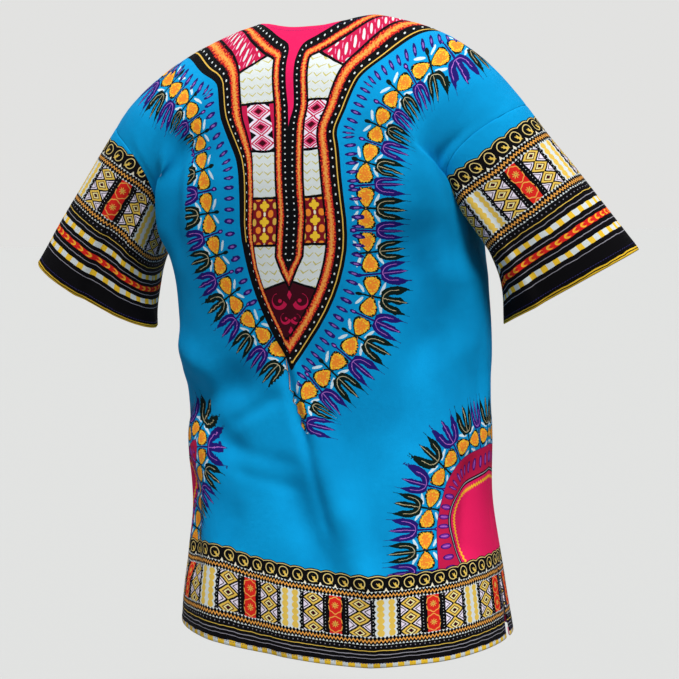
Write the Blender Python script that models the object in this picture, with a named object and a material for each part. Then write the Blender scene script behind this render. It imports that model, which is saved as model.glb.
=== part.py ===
"""A dashiki: a loose printed pullover with dropped shoulders, short straight sleeves, an open neck
slit at the front and a slit at each side of the hem. It is modelled as worn, hollow and held up at
the shoulders. Lengths are in metres. +Z is up, the front faces -Y, and the wearer's left is +X.
The origin is midway between the shoulders, level with the sides of the neck opening."""

import math
from collections import namedtuple

import bmesh
import bpy
import numpy as np

# The cloth and its seams
CLOTH = 0.0016
SEAM_GAP = 0.0004
JOIN_WITHIN = 0.00005
BLUE = (0.010, 0.330, 0.620, 1.0)

# The flat cut of the body panels. UP is measured up the cloth from the hem
BODY_HALF = 0.290
BODY_LENGTH = 0.790
ARMHOLE = 0.230
ARMHOLE_UP = BODY_LENGTH - ARMHOLE
SIDE_SLIT = 0.105
SIDE_SLIT_OPEN = 0.007
NECK_HALF = 0.080
BACK_NECK_DROP = 0.022
FRONT_NECK_DROP = 0.070
NECK_SLIT = 0.105
NECK_SLIT_HALF = 0.009
NECK_CURVE_POWER = 2.4

# Where the cloth lies on a standing figure with its arms held a little away from the body
HEM_Z = -0.763
HEM_SIDE_Z = -0.750
UNDERARM = np.array([0.208, 0.0, -0.222])
SHOULDER_END = np.array([0.271, 0.0, -0.102])
ARMHOLE_ROUND = 0.080
ARMHOLE_INWARD = 0.035
TURN_STARTS_BELOW = 0.02
TURN_ENDS_ABOVE = 0.09
CUFF_CENTRE = np.array([0.330, 0.0, -0.317])
CUFF_TILT = math.radians(31)
CUFF_HALF_HIGH = 0.094
CUFF_HALF_DEEP = 0.052
UNDERARM_BAG = 0.014
UNDERARM_CLEAR = 1.5 * CLOTH + SEAM_GAP
LEAST_EASE = 0.9
MOST_EASE = 1.3
SHOULDER_JOINT = np.array([0.175, 0.0, -0.060])

# Levels up the centre line: how far back and forward it lies, how high, and how full the curve
# from there round to the side is at its middle end and at its side end
Level = namedtuple("Level", "up back front height spread wrap")
LEVELS = (
    Level(up=0.000, back=0.141, front=0.142, height=-0.763, spread=0.125, wrap=0.088),
    Level(up=0.100, back=0.137, front=0.136, height=-0.668, spread=0.120, wrap=0.080),
    Level(up=0.180, back=0.128, front=0.130, height=-0.597, spread=0.114, wrap=0.074),
    Level(up=0.280, back=0.117, front=0.127, height=-0.498, spread=0.112, wrap=0.068),
    Level(up=0.390, back=0.116, front=0.130, height=-0.388, spread=0.112, wrap=0.068),
    Level(up=0.500, back=0.126, front=0.136, height=-0.278, spread=0.115, wrap=0.072),
    Level(up=0.600, back=0.129, front=0.130, height=-0.179, spread=0.112, wrap=0.072),
    Level(up=0.680, back=0.112, front=0.106, height=-0.101, spread=0.100, wrap=0.070),
    Level(up=0.740, back=0.080, front=0.072, height=-0.041, spread=0.085, wrap=0.085),
    Level(up=0.790, back=0.000, front=0.000, height=0.018, spread=0.085, wrap=0.120),
)

# The side seam: how far out from the centre it lies
SideLevel = namedtuple("SideLevel", "up out")
SIDE_SEAM = (
    SideLevel(up=0.000, out=0.214),
    SideLevel(up=0.105, out=0.202),
    SideLevel(up=0.170, out=0.195),
    SideLevel(up=0.260, out=0.198),
    SideLevel(up=0.400, out=0.202),
    SideLevel(up=0.500, out=0.200),
    SideLevel(up=0.560, out=0.208),
)

# How each arm is held, how far the hem and the shoulders are shifted to the left, and which cloth goes
# with the arm: from this share of the way out, and this far below the armhole
Arm = namedtuple("Arm", "forward out")
ARMS = {
    "left": Arm(forward=math.radians(2), out=math.radians(-2)),
    "right": Arm(forward=math.radians(6), out=math.radians(-4)),
}
HEM_SHIFT = -0.006
SHOULDER_SHIFT = 0.012
ARM_MOVES_FROM = 0.4
ARM_MOVES_BELOW = 0.10

# The largest folds, each along a line between two flat places. ACROSS is positive to the wearer's left,
# REACH is the half width of the fold, and a positive RISE stands out from the body
Fold = namedtuple("Fold", "across_low up_low across_high up_high reach rise")
BACK_FOLDS = (
    Fold(across_low=-0.105, up_low=0.060, across_high=-0.005, up_high=0.290, reach=0.024, rise=0.007),
    Fold(across_low=-0.060, up_low=0.070, across_high=0.035, up_high=0.260, reach=0.022, rise=-0.006),
    Fold(across_low=-0.135, up_low=0.220, across_high=-0.165, up_high=0.560, reach=0.032, rise=-0.009),
    Fold(across_low=-0.200, up_low=0.420, across_high=-0.175, up_high=0.690, reach=0.022, rise=0.010),
    Fold(across_low=0.060, up_low=0.245, across_high=0.215, up_high=0.310, reach=0.026, rise=-0.008),
    Fold(across_low=0.110, up_low=0.330, across_high=0.235, up_high=0.400, reach=0.024, rise=0.006),
    Fold(across_low=0.185, up_low=0.060, across_high=0.205, up_high=0.230, reach=0.024, rise=-0.008),
    Fold(across_low=0.185, up_low=0.480, across_high=0.165, up_high=0.700, reach=0.026, rise=-0.009),
    Fold(across_low=0.215, up_low=0.500, across_high=0.205, up_high=0.680, reach=0.018, rise=0.008),
    Fold(across_low=-0.215, up_low=0.090, across_high=-0.235, up_high=0.260, reach=0.026, rise=-0.007),
    Fold(across_low=0.140, up_low=-0.080, across_high=0.125, up_high=0.190, reach=0.034, rise=0.006),
    Fold(across_low=-0.180, up_low=-0.080, across_high=-0.175, up_high=0.170, reach=0.034, rise=0.006),
)
FRONT_FOLDS = (
    Fold(across_low=0.030, up_low=0.040, across_high=0.060, up_high=0.360, reach=0.026, rise=0.008),
    Fold(across_low=-0.090, up_low=0.050, across_high=-0.060, up_high=0.300, reach=0.026, rise=-0.007),
    Fold(across_low=0.150, up_low=0.230, across_high=0.185, up_high=0.560, reach=0.028, rise=-0.008),
    Fold(across_low=-0.150, up_low=0.300, across_high=-0.190, up_high=0.600, reach=0.028, rise=-0.009),
    Fold(across_low=0.205, up_low=0.480, across_high=0.185, up_high=0.680, reach=0.022, rise=0.009),
    Fold(across_low=-0.210, up_low=0.480, across_high=-0.185, up_high=0.690, reach=0.022, rise=0.008),
    Fold(across_low=-0.190, up_low=-0.080, across_high=-0.170, up_high=0.200, reach=0.034, rise=0.007),
    Fold(across_low=0.165, up_low=-0.080, across_high=0.180, up_high=0.180, reach=0.034, rise=0.006),
)

# Folds of a sleeve: ALONG runs from the armhole, 0, to the cuff, 1, and TURN from the underarm
# backwards round the arm in degrees
SleeveFold = namedtuple("SleeveFold", "turn_low along_low turn_high along_high reach rise")
SLEEVE_FOLDS = {
    "left": (
        SleeveFold(turn_low=60, along_low=-0.1, turn_high=95, along_high=0.8, reach=15, rise=-0.005),
        SleeveFold(turn_low=300, along_low=0.0, turn_high=270, along_high=0.9, reach=15, rise=0.005),
    ),
    "right": (
        SleeveFold(turn_low=50, along_low=-0.1, turn_high=80, along_high=0.9, reach=15, rise=0.006),
        SleeveFold(turn_low=290, along_low=0.1, turn_high=265, along_high=1.0, reach=15, rise=-0.005),
    ),
}
FOLD_END = 0.25
FLAT_AT_SEAM = 0.030
SLEEVE_FLAT_AT_SEAM = 0.2

# Mesh steps
SIDE_ROWS = 20
ARMHOLE_ROWS = 12
NECK_COLUMNS = 4
OUTER_COLUMNS = 10
SLEEVE_ROWS = 9
BEZIER_STEPS = 24


def smooth_step(low, high, value):
    """0 below low, 1 above high, and an easy curve between."""
    share = np.clip((value - low) / (high - low), 0, 1)
    return share * share * (3 - 2 * share)


def smooth_curve(knots, values, at):
    """A smooth curve through the values at the knots, read at each number of at."""
    knots = np.asarray(knots, float)
    values = np.asarray(values, float)
    slopes = np.gradient(values, knots)
    left = np.clip(np.searchsorted(knots, at) - 1, 0, len(knots) - 2)
    width = knots[left + 1] - knots[left]
    q = np.clip((at - knots[left]) / width, 0, 1)
    rise = values[left + 1] - values[left]
    bend_left = width * slopes[left] - rise
    bend_right = rise - width * slopes[left + 1]
    return values[left] + q * rise + q * (1 - q) * ((1 - q) * bend_left + q * bend_right)


def unit(vectors):
    """Each vector at length 1."""
    return vectors / np.linalg.norm(vectors, axis=-1, keepdims=True)


def centre_line(face, up):
    """Points up the middle of a panel, and the fullness of the curve at its two ends."""
    back_up = [level.up for level in LEVELS]
    over = back_up + [2 * BODY_LENGTH - value for value in back_up[-2::-1]]
    along = np.where(face > 0, up, 2 * BODY_LENGTH - up)

    def read(back_values, front_values):
        return smooth_curve(over, back_values + front_values[-2::-1], along)

    depth = read([level.back for level in LEVELS], [-level.front for level in LEVELS])
    height, spread, wrap = (
        read([getattr(level, name) for level in LEVELS], [getattr(level, name) for level in LEVELS])
        for name in ("height", "spread", "wrap")
    )
    return np.stack([np.zeros_like(depth), depth, height], -1), spread, wrap


def armhole_line(face, turn):
    """The armhole seam at an angle from 0 at the underarm to pi on the shoulder."""
    rise = (1 - np.cos(turn)) / 2
    line = UNDERARM + rise[..., None] * (SHOULDER_END - UNDERARM)
    line[..., 0] -= ARMHOLE_INWARD * np.sin(turn) ** 2
    line[..., 1] += face * ARMHOLE_ROUND * np.sin(turn)
    return line


def cuff_line(face, turn):
    """The sleeve's open edge at the same angle."""
    up = np.array([math.cos(CUFF_TILT), 0.0, math.sin(CUFF_TILT)])
    line = CUFF_CENTRE - CUFF_HALF_HIGH * np.cos(turn)[..., None] * up
    line[..., 1] += face * CUFF_HALF_DEEP * np.sin(turn)
    return line


def edge_line(face, up):
    """The outer edge of a body panel: up the side seam, then round the armhole."""
    turn = math.pi * np.clip((up - ARMHOLE_UP) / ARMHOLE, 0, 1)
    round_arm = armhole_line(face, turn)
    round_arm[..., 1] += face * SEAM_GAP / 2
    out = smooth_curve([row.up for row in SIDE_SEAM], [row.out for row in SIDE_SEAM], up)
    open_by = SIDE_SLIT_OPEN * np.clip(1 - up / SIDE_SLIT, 0, 1)
    height = HEM_SIDE_Z + (UNDERARM[2] - HEM_SIDE_Z) * up / ARMHOLE_UP
    side = np.stack([out, face * (open_by + SEAM_GAP / 2), height], -1)
    return np.where((up < ARMHOLE_UP)[..., None], side, round_arm)


def edge_direction(face, up):
    """Which way the cloth runs where it reaches the edge."""
    turn = math.pi * np.clip((up - ARMHOLE_UP) / ARMHOLE, 0, 1)
    to_cuff = unit(cuff_line(face, turn) - armhole_line(face, turn))
    round_body = np.zeros_like(to_cuff)
    round_body[..., 1] = -face
    share = smooth_step(ARMHOLE_UP - TURN_STARTS_BELOW, ARMHOLE_UP + TURN_ENDS_ABOVE, up)[..., None]
    return unit(round_body * (1 - share) + to_cuff * share)


def place_on_figure(points, side, arm_share):
    """Points made for a straight figure, put on the given side and into the pose."""
    arm = ARMS["left"] if side > 0 else ARMS["right"]
    placed = points - SHOULDER_JOINT
    out = arm.out * arm_share
    x, z = placed[..., 0].copy(), placed[..., 2].copy()
    placed[..., 0] = x * np.cos(out) - z * np.sin(out)
    placed[..., 2] = x * np.sin(out) + z * np.cos(out)
    forward = -arm.forward * arm_share
    y, z = placed[..., 1].copy(), placed[..., 2].copy()
    placed[..., 1] = y * np.cos(forward) - z * np.sin(forward)
    placed[..., 2] = y * np.sin(forward) + z * np.cos(forward)
    placed += SHOULDER_JOINT
    placed[..., 0] = placed[..., 0] * side + SHOULDER_SHIFT * arm_share
    placed[..., 0] += HEM_SHIFT * np.clip(placed[..., 2] / HEM_Z, 0, 1) * (1 - arm_share)
    return placed


def body_surface(face, side, across, up):
    """The middle of the cloth of a body panel at flat places: across and up, in metres."""
    middle, spread, wrap = centre_line(face, up)
    edge = edge_line(face, up)
    sideways = np.zeros_like(middle)
    sideways[..., 0] = spread
    controls = (middle, middle + sideways, edge - edge_direction(face, up) * wrap[..., None], edge)
    q = np.linspace(0, 1, BEZIER_STEPS + 1)
    weights = ((1 - q) ** 3, 3 * q * (1 - q) ** 2, 3 * q * q * (1 - q), q**3)
    path = sum(w[:, None] * c[..., None, :] for w, c in zip(weights, controls))
    steps = np.linalg.norm(np.diff(path, axis=-2), axis=-1)
    run = np.concatenate([np.zeros(steps.shape[:-1] + (1,)), np.cumsum(steps, axis=-1)], axis=-1)
    whole = run[..., -1]
    share = np.abs(across) / BODY_HALF
    ease = np.clip(BODY_HALF / whole, LEAST_EASE, MOST_EASE)
    wanted = whole * share * (ease - (ease - 1) * share**2)
    left = np.clip((run[..., :-1] <= wanted[..., None]).sum(-1) - 1, 0, BEZIER_STEPS - 1)[..., None]
    start = np.take_along_axis(run, left, -1)
    part = (wanted[..., None] - start) / np.take_along_axis(steps, left, -1)
    low = np.take_along_axis(path, left[..., None], -2)[..., 0, :]
    high = np.take_along_axis(path, left[..., None] + 1, -2)[..., 0, :]
    points = low + part * (high - low)
    arm_share = smooth_step(ARM_MOVES_FROM, 1, share)
    arm_share = arm_share * smooth_step(ARMHOLE_UP - ARM_MOVES_BELOW, ARMHOLE_UP, up)
    return place_on_figure(points, side, arm_share)


def panel_top(face, across):
    """How far up the cloth a panel reaches: to the neck curve in the middle, to the shoulder beside it."""
    drop = BACK_NECK_DROP if face > 0 else FRONT_NECK_DROP
    share = np.clip(np.abs(across) / NECK_HALF, 0, 1)
    return BODY_LENGTH - SEAM_GAP / 2 - drop * (1 - share**NECK_CURVE_POWER)


def panel_rows():
    """Shares of the way up a panel, with one where the armhole starts."""
    low = np.linspace(0, ARMHOLE_UP, SIDE_ROWS + 1)
    high = np.linspace(ARMHOLE_UP, BODY_LENGTH, ARMHOLE_ROWS + 1)[1:]
    return np.concatenate([low, high]) / BODY_LENGTH


def fold_height(places, start, end, reach, rise):
    """How far one fold lifts the cloth at each place, all in the same two flat coordinates."""
    start = np.array(start)
    line = np.array(end) - start
    along = (places - start) @ line / (line @ line)
    off = np.linalg.norm(places - start - np.clip(along, 0, 1)[..., None] * line, axis=-1)
    ends = smooth_step(0, FOLD_END, along) * smooth_step(0, FOLD_END, 1 - along)
    return rise * ends * np.exp(-((off / reach) ** 2))


def surface_normals(points, wrapped=False):
    """The unit normal at each point of a grid, by the right hand from its rows to its columns."""
    columns = np.concatenate([points[:, -1:], points, points[:, :1]], 1) if wrapped else points
    sideways = np.gradient(columns, axis=1)
    if wrapped:
        sideways = sideways[:, 1:-1]
    return unit(np.cross(np.gradient(points, axis=0), sideways))


def panel_points(face):
    """Points of a panel, as rows from the hem up and columns from the right side to the left.

    The middle column is there twice, once for each side of the neck slit."""
    columns = np.concatenate(
        [
            np.linspace(0, NECK_HALF, NECK_COLUMNS + 1),
            np.linspace(NECK_HALF, BODY_HALF - SEAM_GAP / 2, OUTER_COLUMNS + 1)[1:],
        ]
    )
    rows = panel_rows()
    up = rows[:, None] * panel_top(face, columns)[None, :]
    across = np.broadcast_to(columns, up.shape).copy()
    if face < 0:
        slit_foot = 1 - NECK_SLIT / (BODY_LENGTH - FRONT_NECK_DROP)
        opened = np.clip((rows - slit_foot) / (1 - slit_foot), 0, 1)
        narrowed = 1 - across / NECK_HALF
        across += NECK_SLIT_HALF * opened[:, None] * np.clip(narrowed, 0, 1)
    left, right = (body_surface(face, side, across, up) for side in (1, -1))
    points = np.concatenate([right[:, ::-1], left], 1)
    outwards = surface_normals(points) * -face
    middle = slice(len(columns) - 1, len(columns) + 1)
    outwards[:, middle] = unit(outwards[:, middle].sum(1, keepdims=True))
    across = np.concatenate([-across[:, ::-1], across], 1)
    up = np.concatenate([up[:, ::-1], up], 1)
    lift = sum(
        fold_height(np.stack([across, up], -1), fold[:2], fold[2:4], fold.reach, fold.rise)
        for fold in (BACK_FOLDS if face > 0 else FRONT_FOLDS)
    )
    lift *= smooth_step(0, FLAT_AT_SEAM, BODY_HALF - np.abs(across))
    lift *= smooth_step(0, FLAT_AT_SEAM, BODY_LENGTH - up)
    return points + outwards * lift[..., None]


def joined_grid(name, halves, wrapped, material):
    """One sheet of cloth as an object: its grids joined where their points meet, with a wall put on."""
    mesh = bmesh.new()
    for points, flipped in halves:
        grid = [[mesh.verts.new(point) for point in row] for row in points]
        for low, high in zip(grid, grid[1:]):
            right = low[1:] + low[:1] if wrapped else low[1:]
            above = high[1:] + high[:1] if wrapped else high[1:]
            for corners in zip(low, right, above, high):
                mesh.faces.new(reversed(corners) if flipped else corners)
    bmesh.ops.remove_doubles(mesh, verts=mesh.verts, dist=JOIN_WITHIN)
    data = bpy.data.meshes.new(name)
    mesh.to_mesh(data)
    mesh.free()
    data.shade_smooth()
    data.materials.append(material)
    piece = bpy.data.objects.new(name, data)
    bpy.context.collection.objects.link(piece)
    wall = piece.modifiers.new("wall", "SOLIDIFY")
    wall.thickness = CLOTH
    wall.offset = 0
    return piece


def cloth_material(name, color):
    """A matt cotton in one colour."""
    material = bpy.data.materials.new(name)
    material.use_nodes = True
    shader = material.node_tree.nodes["Principled BSDF"]
    shader.inputs["Base Color"].default_value = color
    shader.inputs["Roughness"].default_value = 0.85
    shader.inputs["Metallic"].default_value = 0
    return material


def make_panel(name, face, material):
    """The front or the back of the body."""
    points = panel_points(face)
    middle = points.shape[1] // 2
    halves = [(half, face > 0) for half in (points[:, :middle], points[:, middle:])]
    return joined_grid(name, halves, False, material)


def make_sleeve(name, side, material):
    """One sleeve, a tube from the armhole seam to the cuff."""
    step = math.pi / ARMHOLE_ROWS
    turns = np.arange(2 * ARMHOLE_ROWS) * step
    faces = np.where(turns <= math.pi, 1.0, -1.0)
    turns = np.where(turns <= math.pi, turns, 2 * math.pi - turns)
    end = cuff_line(faces, turns)
    start = armhole_line(faces, turns)
    start += unit(end - start) * SEAM_GAP
    low_side = np.cos(turns / 2) ** 2
    start[..., 0] += UNDERARM_CLEAR * low_side
    along = np.linspace(0, 1, SLEEVE_ROWS + 1)
    rows = start + (end - start) * along[:, None, None]
    rows[..., 0] += UNDERARM_BAG * np.sin(math.pi * along)[:, None] * low_side
    outwards = surface_normals(rows, wrapped=True)
    angles = np.degrees(np.where(faces > 0, turns, 2 * math.pi - turns))
    lift = 0
    for fold in SLEEVE_FOLDS["left" if side > 0 else "right"]:
        places = np.stack(np.broadcast_arrays(angles / fold.reach, along[:, None]), -1)
        foot = (fold.turn_low / fold.reach, fold.along_low)
        head = (fold.turn_high / fold.reach, fold.along_high)
        lift = lift + fold_height(places, foot, head, 1, fold.rise)
    lift *= smooth_step(0, SLEEVE_FLAT_AT_SEAM, along)[:, None]
    points = place_on_figure(rows + outwards * lift[..., None], side, 1)
    return joined_grid(name, [(points, side > 0)], True, material)


def main():
    """Clears the scene and makes the four pieces."""
    for old in list(bpy.data.objects):
        bpy.data.objects.remove(old)
    blue = cloth_material("blue_cotton", BLUE)
    make_panel("back", 1, blue)
    make_panel("front", -1, blue)
    for name, side in (("sleeve_left", 1), ("sleeve_right", -1)):
        make_sleeve(name, side, blue)


main()
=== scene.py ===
"""The looks of a dashiki: a loose pullover of printed cotton, held open as if worn.

The script repeats the cut and the way it lies from its sizes, as thin cloth with turned hems, creases
and stitching, and prints it with node materials. Lengths are in metres, +Z is up, the front faces -Y
and the wearer's left is +X. Sizes inside the print are in millimetres of flat cloth."""

import logging
import math
from collections.abc import Callable
from dataclasses import dataclass
from enum import Enum

import bpy
import numpy as np
from mathutils import Matrix, Vector


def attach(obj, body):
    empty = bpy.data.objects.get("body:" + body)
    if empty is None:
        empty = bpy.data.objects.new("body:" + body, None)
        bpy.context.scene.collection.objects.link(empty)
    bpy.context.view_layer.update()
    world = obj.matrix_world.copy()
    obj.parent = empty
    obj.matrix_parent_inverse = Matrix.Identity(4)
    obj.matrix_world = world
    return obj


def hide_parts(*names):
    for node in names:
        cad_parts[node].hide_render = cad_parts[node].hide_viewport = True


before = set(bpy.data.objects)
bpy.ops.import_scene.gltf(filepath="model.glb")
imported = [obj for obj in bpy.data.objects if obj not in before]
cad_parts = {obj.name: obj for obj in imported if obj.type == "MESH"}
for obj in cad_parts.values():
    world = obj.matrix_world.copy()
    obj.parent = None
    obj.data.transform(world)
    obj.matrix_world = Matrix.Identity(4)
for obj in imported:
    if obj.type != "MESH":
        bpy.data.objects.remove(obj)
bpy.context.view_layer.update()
REPORT = logging.getLogger("dashiki")
MM = 0.001


def add_object(name: str, data: bpy.types.ID) -> bpy.types.Object:
    """Makes an object, in the scene.

    Args:
        name: its name.
        data: its mesh, light or camera.

    Returns:
        The object.
    """
    made = bpy.data.objects.new(name, data)
    bpy.context.collection.objects.link(made)
    return made


def direction(azimuth: float, elevation: float) -> Vector:
    """The way out to a place at these degrees; azimuth 0 is in front of the wearer."""
    turn, rise = math.radians(azimuth), math.radians(elevation)
    return Vector((math.sin(turn) * math.cos(rise), -math.cos(turn) * math.cos(rise), math.sin(rise)))


def add_material(name: str, values: dict[str, object]) -> tuple[bpy.types.Material, bpy.types.Node]:
    """Makes a material.

    Args:
        name: its name.
        values: what the inputs of its shader are set to.

    Returns:
        The material and its shader.
    """
    made = bpy.data.materials.new(name)
    made.use_nodes = True
    shader = made.node_tree.nodes["Principled BSDF"]
    for socket, value in values.items():
        shader.inputs[socket].default_value = value
    return made, shader


def smooth_step(low: float, high: float, value: np.ndarray) -> np.ndarray:
    """0 below low, 1 above high, and an easy curve between."""
    share = np.clip((value - low) / (high - low), 0, 1)
    return share * share * (3 - 2 * share)


def smooth_curve(knots: list, values: list, at: np.ndarray) -> np.ndarray:
    """A smooth curve through the values at the knots.

    Args:
        knots: rising numbers.
        values: the curve's value at each of them.
        at: the numbers to read it at.

    Returns:
        The curve at each number of at.
    """
    knots = np.asarray(knots, float)
    values = np.asarray(values, float)
    slopes = np.gradient(values, knots)
    left = np.clip(np.searchsorted(knots, at) - 1, 0, len(knots) - 2)
    width = knots[left + 1] - knots[left]
    q = np.clip((at - knots[left]) / width, 0, 1)
    rise = values[left + 1] - values[left]
    bend_left = width * slopes[left] - rise
    bend_right = rise - width * slopes[left + 1]
    return values[left] + q * rise + q * (1 - q) * ((1 - q) * bend_left + q * bend_right)


def unit(vectors: np.ndarray) -> np.ndarray:
    """Each vector at length 1."""
    return vectors / np.linalg.norm(vectors, axis=-1, keepdims=True)


def surface_normals(points: np.ndarray, wrapped: bool = False) -> np.ndarray:
    """The unit normals of a grid of points, by the right hand from its rows to its columns.

    Args:
        points: rows of columns of points.
        wrapped: whether the last column meets the first.

    Returns:
        One normal for each point.
    """
    columns = np.concatenate([points[:, -1:], points, points[:, :1]], 1) if wrapped else points
    sideways = np.gradient(columns, axis=1)
    if wrapped:
        sideways = sideways[:, 1:-1]
    return unit(np.cross(np.gradient(points, axis=0), sideways))


def uneven(places: np.ndarray, cell: float, seed: int) -> np.ndarray:
    """A smooth uneven height from about -1 to 1, as of cloth that doesn't lie quite flat.

    Args:
        places: flat places, two numbers each.
        cell: the size of its swells.
        seed: which unevenness it is.

    Returns:
        The height at each place.
    """
    table = np.random.default_rng(seed).uniform(-1, 1, (64, 64))
    grid = places / cell + 17.3
    low = np.floor(grid).astype(int)
    share = grid - low
    share = share * share * (3 - 2 * share)
    corners = [[table[(low[..., 0] + i) % 64, (low[..., 1] + j) % 64] for j in (0, 1)] for i in (0, 1)]
    near = corners[0][0] + share[..., 0] * (corners[1][0] - corners[0][0])
    far = corners[0][1] + share[..., 0] * (corners[1][1] - corners[0][1])
    return near + share[..., 1] * (far - near)


@dataclass(frozen=True)
class Cut:
    """The flat cut of the body panels, measured up the cloth from the hem."""

    half: float = 0.290
    length: float = 0.790
    armhole: float = 0.230
    side_slit: float = 0.105
    side_slit_open: float = 0.007
    neck_half: float = 0.080
    back_neck_drop: float = 0.022
    front_neck_drop: float = 0.070
    neck_curve_power: float = 2.4
    neck_slit: float = 0.105
    neck_slit_half: float = 0.009

    @property
    def armhole_up(self) -> float:
        """How far up the cloth the armhole starts."""
        return self.length - self.armhole

    def top(self, face: int, across: np.ndarray) -> np.ndarray:
        """How far up a panel reaches: to the neck curve in the middle, to the shoulder beside it.

        Args:
            face: 1 for the back, -1 for the front.
            across: places across the panel.

        Returns:
            The top at each place.
        """
        drop = self.back_neck_drop if face > 0 else self.front_neck_drop
        share = np.clip(np.abs(across) / self.neck_half, 0, 1)
        return self.length - drop * (1 - share**self.neck_curve_power)


@dataclass(frozen=True)
class Level:
    """One level up the centre line, and how full the curve from there to the side is at both ends."""

    up: float
    back: float
    front: float
    height: float
    spread: float
    wrap: float


@dataclass(frozen=True)
class Arm:
    """How one arm is held: swung forward and out."""

    forward: float
    out: float


# Each row: up, back, front, height, spread and wrap, in millimetres.
LEVELS = tuple(
    Level(*(value * MM for value in row))
    for row in (
        (0, 141, 142, -763, 125, 88),
        (100, 137, 136, -668, 120, 80),
        (180, 128, 130, -597, 114, 74),
        (280, 117, 127, -498, 112, 68),
        (390, 116, 130, -388, 112, 68),
        (500, 126, 136, -278, 115, 72),
        (600, 129, 130, -179, 112, 72),
        (680, 112, 106, -101, 100, 70),
        (740, 80, 72, -41, 85, 85),
        (790, 0, 0, 18, 85, 120),
    )
)
SIDE_SEAM_UP = [0.000, 0.105, 0.170, 0.260, 0.400, 0.500, 0.560]
SIDE_SEAM_OUT = [0.214, 0.202, 0.195, 0.198, 0.202, 0.200, 0.208]


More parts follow.
